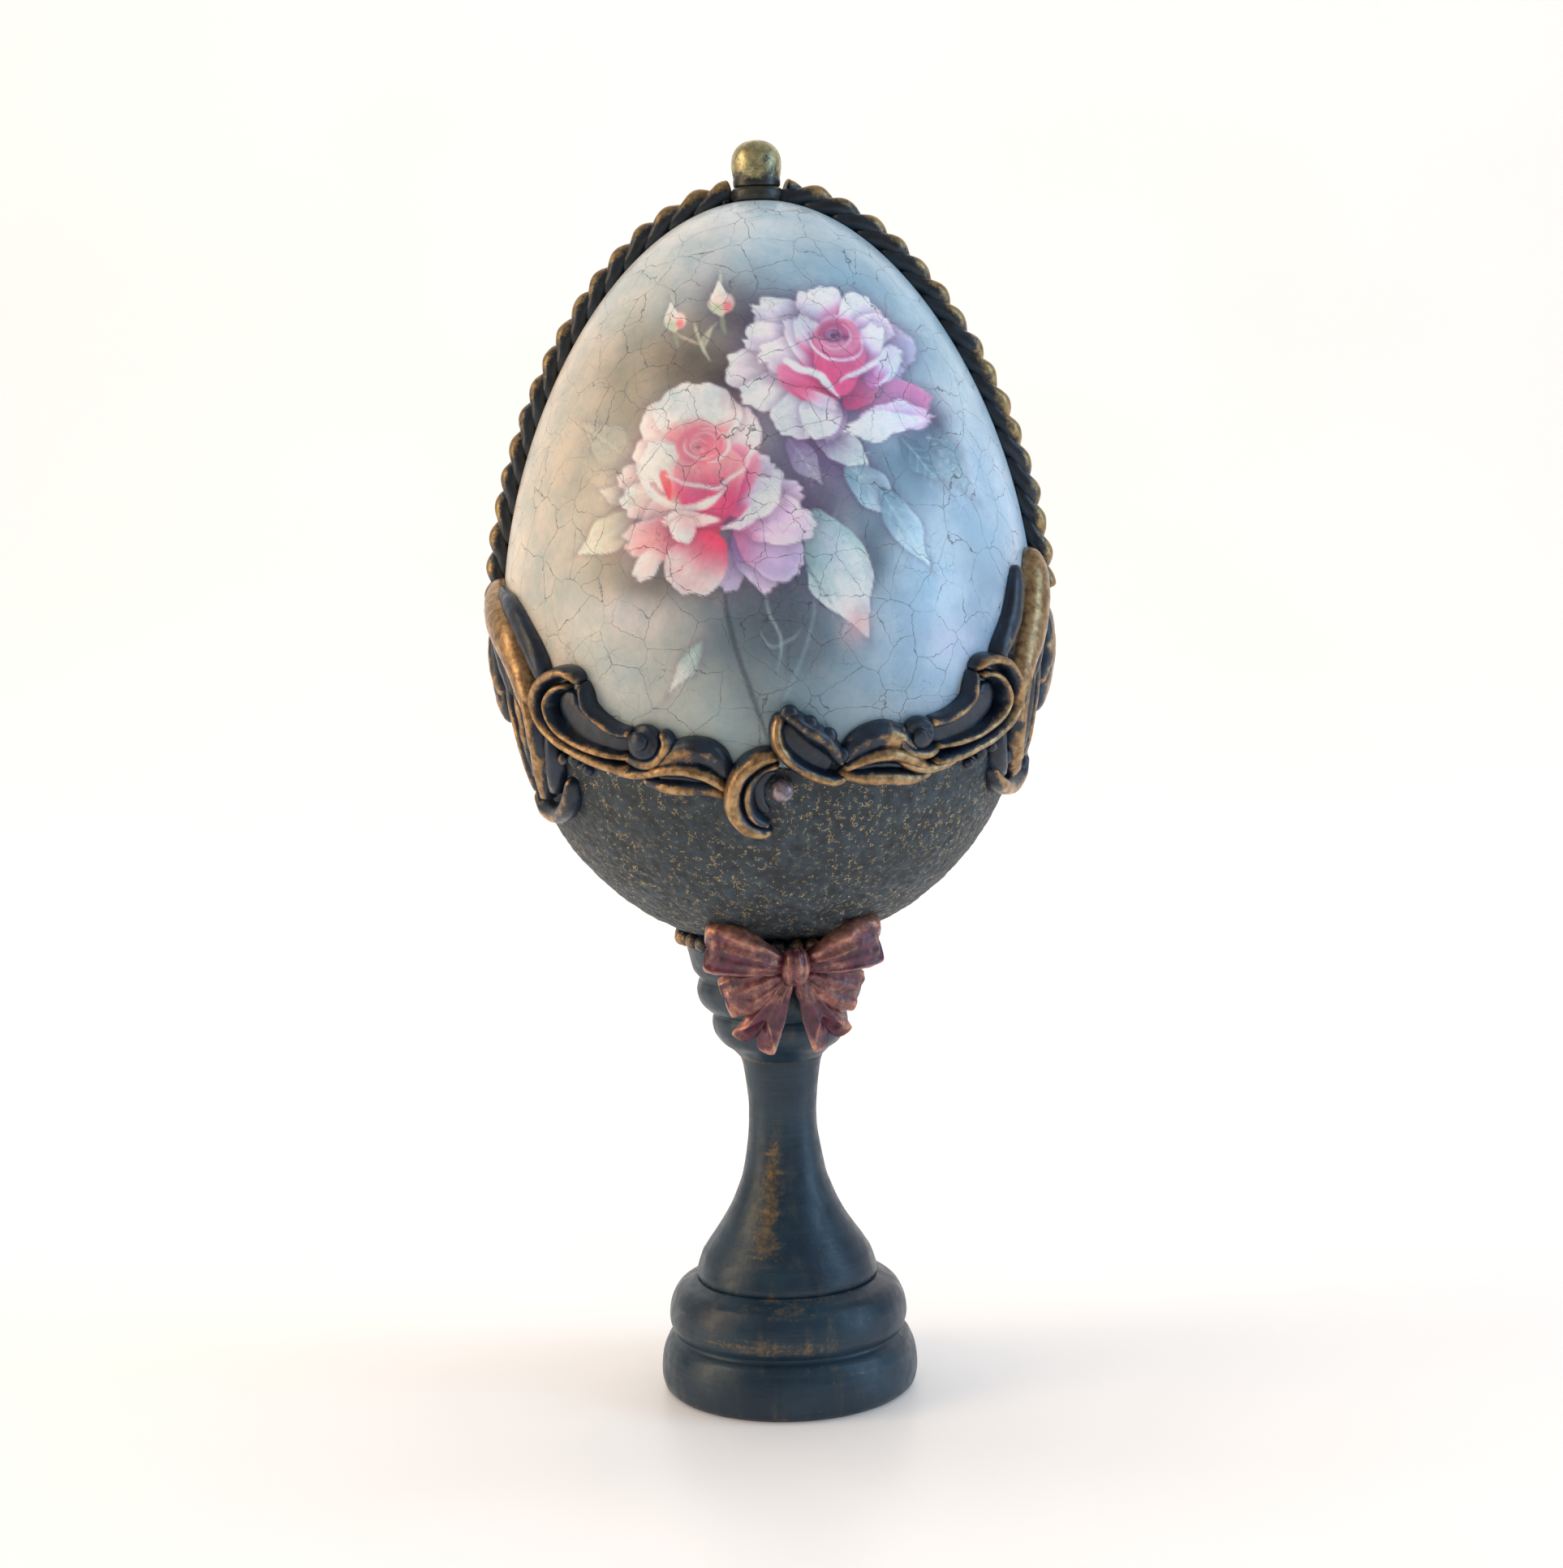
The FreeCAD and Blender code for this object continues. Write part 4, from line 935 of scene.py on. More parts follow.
def coral_rose(c):
    """Cupped rose with cream outer petals and a coral heart, round its own centre."""
    cream, peach = (253, 240, 233), (252, 224, 214)
    c.petal((4, -15), (4.2, -23.0), 4.4, (150, 128, 170), (196, 180, 214), 41, 0.5, rim=0.3)
    c.petal((5, -14), (10.4, -22.6), 6.0, (170, 138, 186), (210, 190, 222), 42, 0.7, rim=0.4)
    c.petal((5, -13), (15.4, -19.4), 9.2, (214, 130, 176), (204, 184, 220), 43, 0.9, turn=(0.1, 0.7))
    c.petal((5, -11), (16.2, -7.2), 6.0, (206, 120, 168), (232, 206, 232), 44, 0.7, turn=(0.2, 0.7))
    c.petal((4, -12), (17.6, -12.4), 8.0, (188, 100, 150), (236, 208, 236), 45, 0.9, turn=(0.1, 0.55))
    c.petal((-3, -5), (-13.2, -5.2), 6.6, (246, 190, 190), peach, 46, 0.6, turn=(0.1, 0.5))
    c.petal((-3, -6), (-13.0, -9.6), 6.8, (246, 196, 192), (250, 224, 214), 47, 0.6, turn=(0.1, 0.5))
    c.petal((-3, -8), (-9.4, -13.6), 5.6, (240, 186, 186), (250, 218, 212), 48, 0.6, turn=(0.1, 0.5))
    c.petal((3.6, -12.6), (-12.6, -15.2), 7.6, (232, 84, 116), (248, 182, 184), 49, 0.8, turn=(0.1, 0.8))
    c.petal((-6, -15), (-10.8, -20.6), 4.0, (244, 160, 170), (252, 216, 214), 50, 0.6, turn=(0.1, 0.6),
            shadow=0.2)
    c.petal((2.4, -13.6), (-4.0, -22.8), 10.4, (234, 88, 124), (250, 206, 208), 51, 0.8,
            turn=(0.15, 0.72), shadow=0.2)
    c.petal((3, -6), (12.0, -3.4), 6.2, (236, 150, 184), (244, 230, 244), 52, 0.7, turn=(0.2, 0.6))
    c.petal((2, -10), (12.4, -7.4), 7.0, (224, 110, 156), (242, 226, 242), 53, 0.8, turn=(0.35, 0.7))
    c.petal((0, 0), (-10.6, -2.6), 8.6, (250, 214, 206), cream, 54, 0.7, turn=(0.1, 0.5))
    c.petal((0, 0), (-9.4, 5.2), 8.6, (250, 220, 212), (248, 230, 224), 55, 0.5, turn=(0.1, 0.5),
            shadow=0.25)
    c.petal((0, 0), (8.8, 4.6), 8.4, (248, 206, 208), (248, 238, 238), 56, 0.6, turn=(0.1, 0.5))
    c.petal((0, 0), (4.6, 8.2), 8.6, (248, 214, 206), (250, 240, 234), 57, 0.6, turn=(0.1, 0.5),
            shadow=0.25)
    c.petal((0, -1), (-1.8, 9.8), 14.5, (246, 160, 170), (253, 240, 234), 58, 0.5, turn=(0.26, 0.56),
            shadow=0.2)
    c.petal((0, -9), (-8.6, 0.4), 7.0, (244, 140, 150), (251, 234, 226), 59, 0.5, turn=(0.3, 0.6),
            shadow=0.2)
    c.petal((1, -11), (8.4, -0.4), 7.6, (222, 84, 138), (240, 150, 178), 60, 0.3, rim=0.4,
            turn=(0.4, 0.9), shadow=0.2)
    c.petal((1.6, -13.0), (1.0, 0.6), 12.4, (226, 92, 138), (246, 160, 170), 61, 0.2, rim=0.15,
            turn=(0.25, 0.75), shadow=0.2)
    c.petal((-5.0, -8.6), (-6.2, -3.6), 1.9, (230, 96, 112), (240, 120, 130), 62, 0.2, rim=0.1,
            shadow=0.0)
    c.stroke([(-5.6, -4.7), (-3.2, -5.6), (0.0, -6.3), (2.6, -6.7), (4.6, -5.2), (7.0, -3.5),
              (8.8, -1.2)], 0.62,
             (252, 226, 226), 0.95, (0.4, 0.5), 0.15, seed=12)
    c.stroke([(-9.8, -3.8), (-7.8, -7.2), (-5.2, -9.2), (-2.6, -9.9), (0.5, -9.2), (2.6, -8.1),
              (4.2, -6.6)], 1.25,
             (252, 236, 230), 0.97, (0.9, 0.2), 0.15, seed=13)
    c.petal((2.8, -11.7), (-6.4, -11.9), 3.0, (250, 214, 214), (251, 234, 228), 63, 0.4)
    c.petal((-1.4, -11.4), (-4.4, -14.8), 4.6, (246, 196, 200), (250, 224, 224), 64, 0.5)
    c.stroke([(3.1, -13.1), (6.3, -12.3), (9.0, -10.0), (11.4, -7.9), (12.2, -5.0)], 1.9, (244, 228, 242),
             0.95,
             (0.2, 0.9), 0.2, seed=14)
    c.stroke([(7.4, 5.6), (8.9, 3.0), (8.8, 0.2), (7.2, -2.6)], 1.2, (250, 236, 238), 0.9, (0.5, 0.3),
             0.2, seed=15)
    c.disc(0.5, 0.1, 4.3, 3.1, (236, 132, 152), 0.95)
    c.stroke(ring_arc(0.5, 0.1, 4.1, 2.9, -80, 40), 0.55, (253, 228, 230), 0.95, seed=16)
    c.stroke(ring_arc(0.9, 0.4, 3.0, 2.3, -30, 110), 0.34, (252, 206, 212), 0.9, seed=17)
    c.stroke(ring_arc(0.3, 0.0, 2.9, 2.0, 150, 320), 0.42, (252, 210, 214), 0.9, seed=18)
    c.stroke(ring_arc(0.6, 0.5, 2.1, 1.6, -60, 160), 0.30, (248, 190, 200), 0.9, seed=19)
    c.disc(-0.2, -0.1, 1.5, 1.1, (214, 120, 142), 0.9)
    c.stroke(ring_arc(-0.2, -0.1, 1.35, 1.0, 30, 330), 0.28, (250, 208, 214), 0.9, seed=20)
    c.stroke(ring_arc(-0.2, -0.1, 0.7, 0.5, 60, 360), 0.24, (236, 196, 202), 0.9, seed=21)
    c.disc(-0.2, -0.1, 0.3, 0.25, (142, 96, 112), 0.9)


def bud(c, x, z, lean=0.0, size=1.0):
    """Closed pale bud on a short stem."""
    c = c.placed(x, z, 1.0, size)
    green, pale = (150, 160, 140), (206, 214, 196)
    c.petal((0, -2.4), (-0.2 + lean, 3.6), 3.4, (214, 196, 182), (236, 226, 216), 71, 0.1, point=0.6,
            shadow=0.2)
    c.disc(0.3, 0.0, 1.8, 1.7, (240, 214, 210), 0.9)
    c.disc(1.0, -0.5, 0.7, 0.9, (226, 120, 130), 0.8)
    c.disc(-0.5, -0.8, 1.0, 1.0, (186, 200, 172), 0.8)
    c.stroke([(0.2, -2.2), (-1.9, -0.6), (-1.6, 1.6)], 0.4, pale, 0.8)
    c.stroke([(0.2, -2.2), (0.2, -3.6), (0.6, -5.2)], 0.9, green, 0.8)
    c.stroke([(0.0, 3.2), (0.1 + lean, 5.4)], 0.5, pale, 0.7)


def leaf_shape(c, root, tip, width, base, end, seed, alpha=0.9, vein=(225, 238, 232)):
    """Pointed leaf with a middle vein and four pairs of side veins."""
    c.petal(root, tip, width, base, end, seed, 0.35, 0.25, (0.1, 0.8), 0.75, 0.35, alpha, (236, 244, 240))
    a, b = np.array(root, float), np.array(tip, float)
    along = b - a
    out = np.array([-along[1], along[0]]) / np.hypot(*along) * width / 2
    c.stroke([a, a + 0.5 * along, b], 0.26, vein, 0.6 * alpha, seed=seed)
    for k in (0.25, 0.42, 0.6, 0.76):
        for s in (-1, 1):
            start = a + k * along
            c.stroke([start, start + 0.10 * along + 0.35 * s * out,
                      start + 0.17 * along + 0.62 * s * out], 0.16, vein,
                     0.42 * alpha, seed=seed + 1)


def ground(c, zones, seed):
    """Blended sky-like ground from a few places of known colour."""
    total, weight = np.zeros_like(c.rgb), np.zeros(c.x.size)
    p = np.stack([c.x, c.z, 0 * c.x], -1)
    wx, wz = 4.0 * cloud(p, 16, seed, 3), 4.0 * cloud(p, 16, seed + 5, 3)
    for x, z, size, colour in zones:
        w = np.exp(-((c.x + wx - x) ** 2 + (c.z + wz - z) ** 2) / (2 * size ** 2)) + 1e-6
        total += w[:, None] * np.array(colour, float)
        weight += w
    c.rgb[:] = total / weight[:, None]
    c.rgb *= 1 + 0.060 * cloud(p, 9, seed + 8, 4)[:, None]
    c.rgb += 7.0 * cloud(p, 12, seed + 20, 3)[:, None] * np.array([1.0, 0.1, -0.6])


def paint_front(c):
    """Front picture: ground, dark patches, stems, leaves, coral rose, buds and lilac rose, in that order."""
    ground(c, [(-38, 150, 10, (206, 196, 180)), (-40, 128, 9, (196, 192, 178)),
               (-28, 178, 10, (198, 190, 176)),
               (-22, 194, 9, (190, 190, 184)), (0, 200, 9, (176, 190, 200)),
               (-12, 208, 8, (190, 196, 198)),
               (14, 198, 9, (158, 186, 200)), (30, 182, 9, (178, 202, 216)),
               (38, 160, 9, (186, 206, 222)),
               (40, 140, 9, (170, 190, 210)), (28, 148, 9, (176, 198, 212)),
               (26, 128, 8, (168, 188, 204)),
               (-28, 142, 9, (196, 192, 184)), (-22, 128, 8, (184, 186, 182)),
               (-8, 122, 8, (152, 168, 166)),
               (6, 118, 8, (138, 160, 162)), (2, 132, 7, (128, 142, 150)), (12, 128, 7, (150, 168, 178)),
               (0, 150, 9, (150, 152, 160))], 61)
    c.fog(-3, 188, 8, 5.5, (92, 88, 96), 0.9, 3)
    c.fog(-13, 181, 7, 7, (108, 100, 92), 0.9, 4)
    c.fog(-6, 179, 5, 4, (78, 68, 62), 0.85, 24)
    c.fog(-21, 174, 6, 9, (142, 132, 116), 0.8, 5)
    c.fog(-27, 160, 5, 9, (166, 156, 140), 0.5, 6)
    c.fog(-16, 146, 11, 4, (112, 102, 94), 0.8, 7)
    c.fog(-25, 152, 4, 5, (132, 120, 98), 0.6, 25)
    c.fog(2, 140, 8, 9, (70, 84, 98), 0.8, 8)
    c.fog(-3, 129, 4, 7, (104, 120, 126), 0.6, 9)
    c.fog(7, 155, 6, 9, (92, 92, 116), 0.85, 10)
    c.fog(10, 165, 7, 6, (122, 104, 142), 0.85, 11)
    c.fog(22, 163, 6, 8, (96, 122, 140), 0.75, 12)
    c.fog(26, 167, 3, 6, (52, 74, 92), 0.85, 13)
    c.fog(17, 150, 3, 5, (74, 96, 112), 0.7, 26)
    c.fog(-22, 140, 6, 4, (204, 196, 206), 0.5, 14)
    c.fog(29, 135, 6, 4, (190, 190, 214), 0.5, 15)
    c.fog(24, 199, 5, 4, (196, 196, 214), 0.35, 16)
    c.fog(20, 186, 13, 9, (128, 164, 180), 0.5, 17)
    c.stroke([(-6.8, 146), (-6.4, 141), (-5.4, 136), (-3.6, 130), (-1.6, 124), (0.5, 117)], 0.9,
             (70, 82, 92), 0.75)
    c.stroke([(-0.4, 146), (0.2, 141), (2.0, 136.4), (1.2, 131)], 0.5, (186, 204, 206), 0.6)
    c.stroke([(7.6, 146), (7.2, 140), (5.0, 133), (2.4, 127), (0.8, 121)], 0.55, (150, 172, 178), 0.6)
    c.stroke([(4.0, 144), (3.4, 137), (2.6, 131)], 0.4, (78, 92, 104), 0.6)
    c.stroke([(-1.4, 138), (0.4, 135.4), (3.6, 136.6), (5.2, 138)], 0.4, (190, 206, 208), 0.5)
    c.stroke([(12, 158), (9, 152), (4, 148)], 0.5, (168, 186, 196), 0.5)
    leaf_shape(c, (-19.5, 164), (-29.5, 171.5), 7.5, (158, 160, 150), (190, 188, 176), 81, 0.5)
    leaf_shape(c, (-20, 156.6), (-30.4, 150.4), 7.0, (206, 202, 176), (226, 220, 198), 82, 0.85)
    leaf_shape(c, (-21, 158.5), (-26.5, 160.5), 4.0, (214, 206, 186), (222, 216, 200), 83, 0.7)
    leaf_shape(c, (-10.5, 136.4), (-16, 128.4), 3.6, (160, 190, 186), (206, 208, 206), 84, 0.75)
    leaf_shape(c, (24.4, 171), (34, 158), 7.0, (88, 116, 134), (150, 178, 192), 85, 0.85)
    leaf_shape(c, (22, 168), (28.5, 160), 5.0, (70, 94, 112), (110, 140, 156), 86, 0.75)
    leaf_shape(c, (13, 164), (21.5, 155), 7.0, (150, 180, 194), (216, 234, 242), 87, 0.95)
    leaf_shape(c, (18, 160), (26, 147.5), 6.4, (130, 160, 178), (208, 226, 236), 88, 0.9)
    leaf_shape(c, (8, 170), (16.5, 163.4), 6.6, (186, 170, 206), (212, 226, 226), 89, 0.95)
    leaf_shape(c, (4, 168), (9, 160.6), 5.0, (172, 150, 190), (196, 190, 212), 90, 0.7)
    leaf_shape(c, (7.4, 156.5), (15.6, 136.6), 12.4, (170, 206, 204), (226, 226, 226), 91, 0.97)
    c.fog(12.6, 147.5, 2.2, 5, (236, 246, 248), 0.7, 27)
    c.fog(13.6, 139, 2.2, 3, (232, 176, 178), 0.55, 18)
    c.fog(10.0, 151, 2.6, 3, (206, 206, 226), 0.5, 19)
    c.stroke([(7.4, 156.5), (5.2, 153), (6.0, 148.5), (10.0, 142)], 0.5, (84, 100, 116), 0.7)
    coral_rose(c.placed(-10.0, 167.2))
    c.stroke([(-8.2, 180.6), (-9.4, 184), (-7.0, 187)], 0.5, (196, 196, 178), 0.8)
    c.stroke([(-9.4, 183.4), (-12.6, 184.8), (-14.4, 186.4)], 0.45, (206, 198, 182), 0.8)
    c.stroke([(-8.4, 181), (-10.2, 185.2), (-10.6, 187)], 0.5, (214, 214, 194), 0.7)
    c.stroke([(-9.2, 182.6), (-7.8, 186.4)], 0.6, (204, 208, 190), 0.7)
    bud(c, -6.2, 190.2, -0.2)
    bud(c, -13.8, 187.6, -0.8, 0.85)
    lilac_rose(c.placed(11.8, 184.4))


def paint_back(c):
    """Back picture: the same flowers mirrored and moved on a lighter ground."""
    ground(c, [(-38, 150, 10, (190, 204, 216)), (-28, 178, 10, (184, 200, 212)),
               (0, 202, 12, (178, 190, 200)),
               (30, 180, 10, (200, 194, 182)), (38, 150, 10, (206, 198, 184)),
               (24, 132, 9, (188, 188, 180)),
               (-24, 132, 9, (172, 190, 204)), (0, 122, 9, (146, 164, 166)),
               (0, 150, 9, (156, 158, 164))], 77)
    c.fog(6, 182, 12, 8, (130, 122, 120), 0.75, 31)
    c.fog(-10, 160, 9, 10, (126, 122, 148), 0.7, 32)
    c.fog(0, 138, 8, 8, (98, 110, 122), 0.7, 33)
    c.fog(20, 150, 8, 6, (150, 140, 128), 0.6, 34)
    c.stroke([(3, 150), (1.4, 140), (-0.5, 130), (0, 118)], 0.9, (74, 86, 96), 0.75)
    c.stroke([(-5, 150), (-4, 140), (-1.5, 131)], 0.6, (150, 172, 178), 0.6)
    leaf_shape(c, (-9, 158), (-22, 143), 10.0, (170, 198, 200), (206, 218, 224), 101, 0.95)
    leaf_shape(c, (16, 158), (27, 148), 7.4, (206, 204, 180), (226, 222, 202), 102, 0.85)
    leaf_shape(c, (-16, 172), (-28, 166), 7.0, (96, 122, 138), (160, 184, 196), 103, 0.8)
    leaf_shape(c, (14, 178), (24, 186), 6.0, (160, 176, 168), (206, 214, 204), 104, 0.7)
    leaf_shape(c, (4, 146), (14, 134), 6.4, (160, 186, 184), (212, 206, 208), 105, 0.9)
    lilac_rose(c.placed(-7.5, 176.0, -1.0, 0.95))
    coral_rose(c.placed(9.5, 166.0, -1.0, 0.85))
    bud(c, 10.4, 188.4, 0.6)
    bud(c, 17.0, 183.6, 0.9, 0.85)


def linear(rgb):
    """Screen values up to 255 as linear colour."""
    s = np.clip(rgb / 255.0, 0, 1)
    return np.where(s <= 0.04045, s / 12.92, ((s + 0.055) / 1.055) ** 2.4)


def spread(stops):
    """Places from the first stop to the last, spaced as each stop says."""
    out = [stops[0][0]]
    for (start, gap), (end, _) in zip(stops, stops[1:]):
        n = max(1, int(round((end - start) / gap)))
        out.extend(np.linspace(start, end, n + 1)[1:])
    return np.array(out)


def picture_sheet(first_azimuth, painter):
    """Grid over one face of the egg, finest where the flowers are, with its painting."""
    a = spread([(-90, 1.3), (-44, 0.40), (44, 1.3), (90, 1.3)])
    azimuth = a + 90 + first_azimuth
    low = coat_top(azimuth) - 1.6
    s = spread([(0.0, 0.9), (9, 0.30), (78, 0.8), (101, 0.8)])
    t_all = np.radians(np.linspace(4.2, 128, 900))
    r, z = egg_profile(t_all, PICTURE)
    run = np.r_[0, np.cumsum(np.hypot(np.diff(r), np.diff(z)))]
    t_low = np.arccos(np.clip((low - EGG_MID) / EGG_HALF, -1, 1))
    run_low = np.interp(t_low, t_all, run)
    share = (s / s[-1])[:, None]
    t = np.interp((run_low[None, :] * (1 - share)).ravel(), run, t_all).reshape(len(s), len(a))
    zz = EGG_MID + EGG_HALF * np.cos(t)
    p = egg_at(azimuth[None, :], zz, PICTURE)
    facing = turned_about_z(p, -first_azimuth - 90) if first_azimuth > 0 else p
    c = Canvas(facing[..., 0].ravel(), facing[..., 2].ravel())
    painter(c)
    contrast, middle = 1.22, 124
    c.rgb = np.clip(128 + contrast * (c.rgb - middle), 4, 255)
    return Grid(p, False, False, flip=True, colour=linear(c.rgb).reshape(p.shape))


piece("front_painting", [picture_sheet(-94.0, paint_front)], FRONT, "egg", "front_picture",
      weld=False)
piece("back_painting", [picture_sheet(86.0, paint_back)], BACK, "egg", "back_picture",
      weld=False)


# ---------------------------------------------------------------- modelled trim on the egg

def strip(path, widths, heights, rub=0.35, ridge=0.0, steps=0, around=22, rough=0.10, seed=1, dish=0.0,
          lines=0.0):
    """Rope of modelling clay pressed on the egg along (azimuth, height) places.

    dish hollows its top, ridge pinches it to a crest and lines draws grooves along it."""
    path = np.asarray(path, float)
    if not steps:
        run = np.hypot(*(np.diff(path, axis=0) * [0.7, 1.0]).T).sum()
        steps = int(np.clip(run * 3.2, 26, 150))
    way = through(path, steps)
    spread_out = 1.28
    w = through(widths, steps) * spread_out
    h = through(heights, steps)
    c = egg_at(way[:, 0], way[:, 1], 0.0)
    n = egg_at(way[:, 0], way[:, 1], 1.0) - c
    along = np.gradient(c, axis=0)
    step = np.linalg.norm(along, axis=1)
    along /= step[:, None]
    side = np.cross(n, along)
    side /= np.linalg.norm(side, axis=1, keepdims=True)
    run = np.r_[0, np.cumsum((step[1:] + step[:-1]) / 2)]
    end = np.minimum(run, run[-1] - run)
    close = np.clip(end / (w / 2 + 0.01), 0, 1)
    cap = np.sqrt(np.clip(1 - (1 - close) ** 2, 0, 1))
    k = -np.linspace(0, 2 * np.pi, around, endpoint=False)
    v, up = np.cos(k)[None, :], np.sin(k)[None, :]
    lift = np.where(up > 0, (h * (0.25 + 0.75 * cap))[:, None] * np.maximum(up, 0) ** mix(0.75, 1.35,
            ridge), 0.5 * up)
    lift = lift - dish * (1 - v ** 2) ** 2 * np.where(up > 0, 1, 0) * cap[:, None]
    lift = lift + lines * np.where(up > 0, np.sin(v * 7.5), 0) * cap[:, None] * 0.5
    q = c[:, None] + side[:, None] * (w / 2 * cap)[:, None, None] * v[..., None]
    azimuth = np.degrees(np.arctan2(q[..., 0], -q[..., 1]))
    p = egg_at(azimuth, np.clip(q[..., 2], 82, 208), 0.45 + lift)
    bulge = 0.7 * grain(p, 2.6, seed) + 0.5 * grain(p, 1.1, seed + 3)
    p = p + (normals(p, False, True)
             * (rough * bulge * cap[:, None] * np.where(up > -0.2, 1, 0))[..., None])
    worn = rub + 0.75 * (np.maximum(up, 0) ** 3 - 0.5) * (1 - dish) + 1.3 * convexity(p, False, True, 2)
    worn = worn - 0.05 + 0.65 * cloud(p, 4.0, seed + 7, 3)
    p = capped(p)
    worn = np.concatenate([worn[:1], worn, worn[-1:]])
    return Grid(p, False, True, flip=False, rub=np.clip(worn, -0.6, 1.3))


def pellet(azimuth, z, radius, lift=1.0, squash=0.8, rub=0.2, swirl=0.0, turn=0.0, gain=0.3):
    """Round pellet of clay pressed on the egg."""
    c = egg_at(azimuth, z, lift)
    n = egg_at(azimuth, z, lift + 1) - c
    p = ball_grid(c, radius, n, squash, 18, 26, swirl, turn)
    worn = rub + gain * ((p - c) @ n / radius) + 0.2 * grain(p, 1.5, 5)
    return Grid(p, False, True, rub=worn)


def to_back(grid):
    """The same relief mirrored to the other face of the egg."""
    p = turned_about_z(grid.p, -TRIM_TURN) * np.array([1.0, -1.0, 1.0])
    return Grid(turned_about_z(p, TRIM_TURN), grid.wrap_u, grid.wrap_v, not grid.flip, grid.colour,
                **grid.fields)


def trim(node, grids, material=GOLD):
    """The same moulding on the front and, mirrored, on the back."""
    piece("trim_front_" + node, grids, material, "egg", "front_" + node)
    piece("trim_back_" + node, [to_back(g) for g in grids], material, "egg", "back_" + node)


trim("strap_left", [
    strip([(-87.5, 144.0), (-80.7, 141.5), (-71.5, 138.4), (-65.2, 135.4), (-60.6, 131.5), (-58.2, 127.2),
           (-57.2, 122.5)],
          [5.2, 6.2, 6.0, 5.6, 5.0, 4.4, 3.2], [2.2, 3.2, 3.6, 3.7, 3.5, 3.2, 2.4], 0.98, 0.1, rough=0.07,
          seed=3),
    strip([(-80.0, 143.6), (-67.0, 141.2), (-58.6, 136.8), (-53.4, 132.6), (-52.2, 129.4)],
          [2.6, 3.4, 3.6, 3.2, 2.2], [1.3, 1.8, 2.2, 2.4, 2.0], -0.35, seed=4),
    strip([(-86.0, 139.4), (-76.5, 135.6), (-70.2, 131.0), (-66.4, 126.4)],
          [2.4, 3.0, 3.0, 2.2], [1.6, 2.2, 2.2, 1.6], -0.2, seed=5)])

trim("strap_right", [
    strip([(80.5, 146.5), (75.0, 144.6), (71.6, 139.8), (67.2, 134.8), (63.4, 131.2), (61.7, 127.6),
           (61.4, 122.4)],
          [5.0, 6.4, 6.4, 5.8, 5.0, 4.4, 3.2], [2.2, 3.4, 3.7, 3.7, 3.5, 3.2, 2.4], 0.86, 0.1, rough=0.07,
          seed=13),
    strip([(64.8, 146.2), (62.2, 142.6), (58.6, 137.6), (54.2, 133.6), (51.6, 131.2)],
          [2.6, 3.4, 3.6, 3.2, 2.2], [1.3, 1.8, 2.2, 2.4, 2.0], -0.35, seed=14),
    strip([(83.0, 141.6), (77.5, 136.0), (72.0, 130.6), (68.8, 125.4)],
          [2.4, 3.0, 3.0, 2.2], [1.6, 2.2, 2.2, 1.6], -0.2, seed=15)])

trim("scroll_left", [
    strip([(-40.4, 129.7), (-41.8, 131.2), (-45.2, 131.6), (-49.4, 130.4), (-52.4, 128.2), (-53.0, 125.7),
           (-51.2, 123.0),
           (-47.2, 120.6), (-41.4, 118.6), (-35.3, 117.0), (-30.0, 116.2)],
          [1.5, 1.8, 1.8, 1.8, 1.8, 1.8, 1.8, 1.8, 1.8, 1.8, 1.4],
          [2.2, 3.2, 3.6, 3.8, 3.9, 3.9, 3.8, 3.7, 3.5, 3.2, 2.4],
          0.32, 0.5, seed=21),
    strip([(-43.8, 129.6), (-47.4, 128.6), (-49.4, 126.6), (-48.6, 123.9), (-45.8, 121.7), (-41.2, 120.1),
           (-35.5, 118.8),
           (-30.0, 118.2)], [1.2, 1.5, 1.5, 1.5, 1.5, 1.5, 1.5, 1.1],
           [2.2, 3.0, 3.4, 3.5, 3.4, 3.2, 2.8, 2.0],
          0.42, 0.5, seed=22),
    strip([(-43.6, 128.6), (-44.6, 126.2), (-43.0, 123.9), (-39.4, 122.1), (-34.4, 120.9),
           (-29.3, 120.4)],
          [3.0, 4.2, 4.6, 4.4, 3.8, 2.6], [1.6, 1.7, 1.7, 1.7, 1.6, 1.4], -0.12, dish=0.5, seed=23),
    strip([(-40.4, 130.2), (-39.4, 128.2), (-38.6, 126.0), (-35.8, 123.9), (-32.3, 122.4),
           (-28.6, 122.0)],
          [1.6, 1.8, 1.8, 1.8, 1.8, 1.4], [1.8, 2.7, 2.9, 2.8, 2.6, 2.0], -0.10, 0.2, seed=24),
    strip([(-38.6, 117.6), (-33.6, 116.2), (-28.4, 115.7), (-23.8, 116.5), (-20.5, 118.6)],
          [1.3, 1.7, 1.8, 1.7, 1.2], [1.7, 2.5, 2.8, 2.6, 1.8], 0.42, 0.5, seed=25),
    strip([(-31.5, 118.3), (-27.2, 117.4), (-23.4, 118.0), (-21.2, 120.3), (-22.2, 122.6)],
          [1.4, 1.9, 2.0, 2.0, 1.3], [1.9, 2.8, 3.0, 2.8, 1.9], 0.05, 0.3, seed=26),
    pellet(-26.3, 120.6, 3.1, 1.3, 0.82, 0.0, 0.34, 0.4, 0.15)])

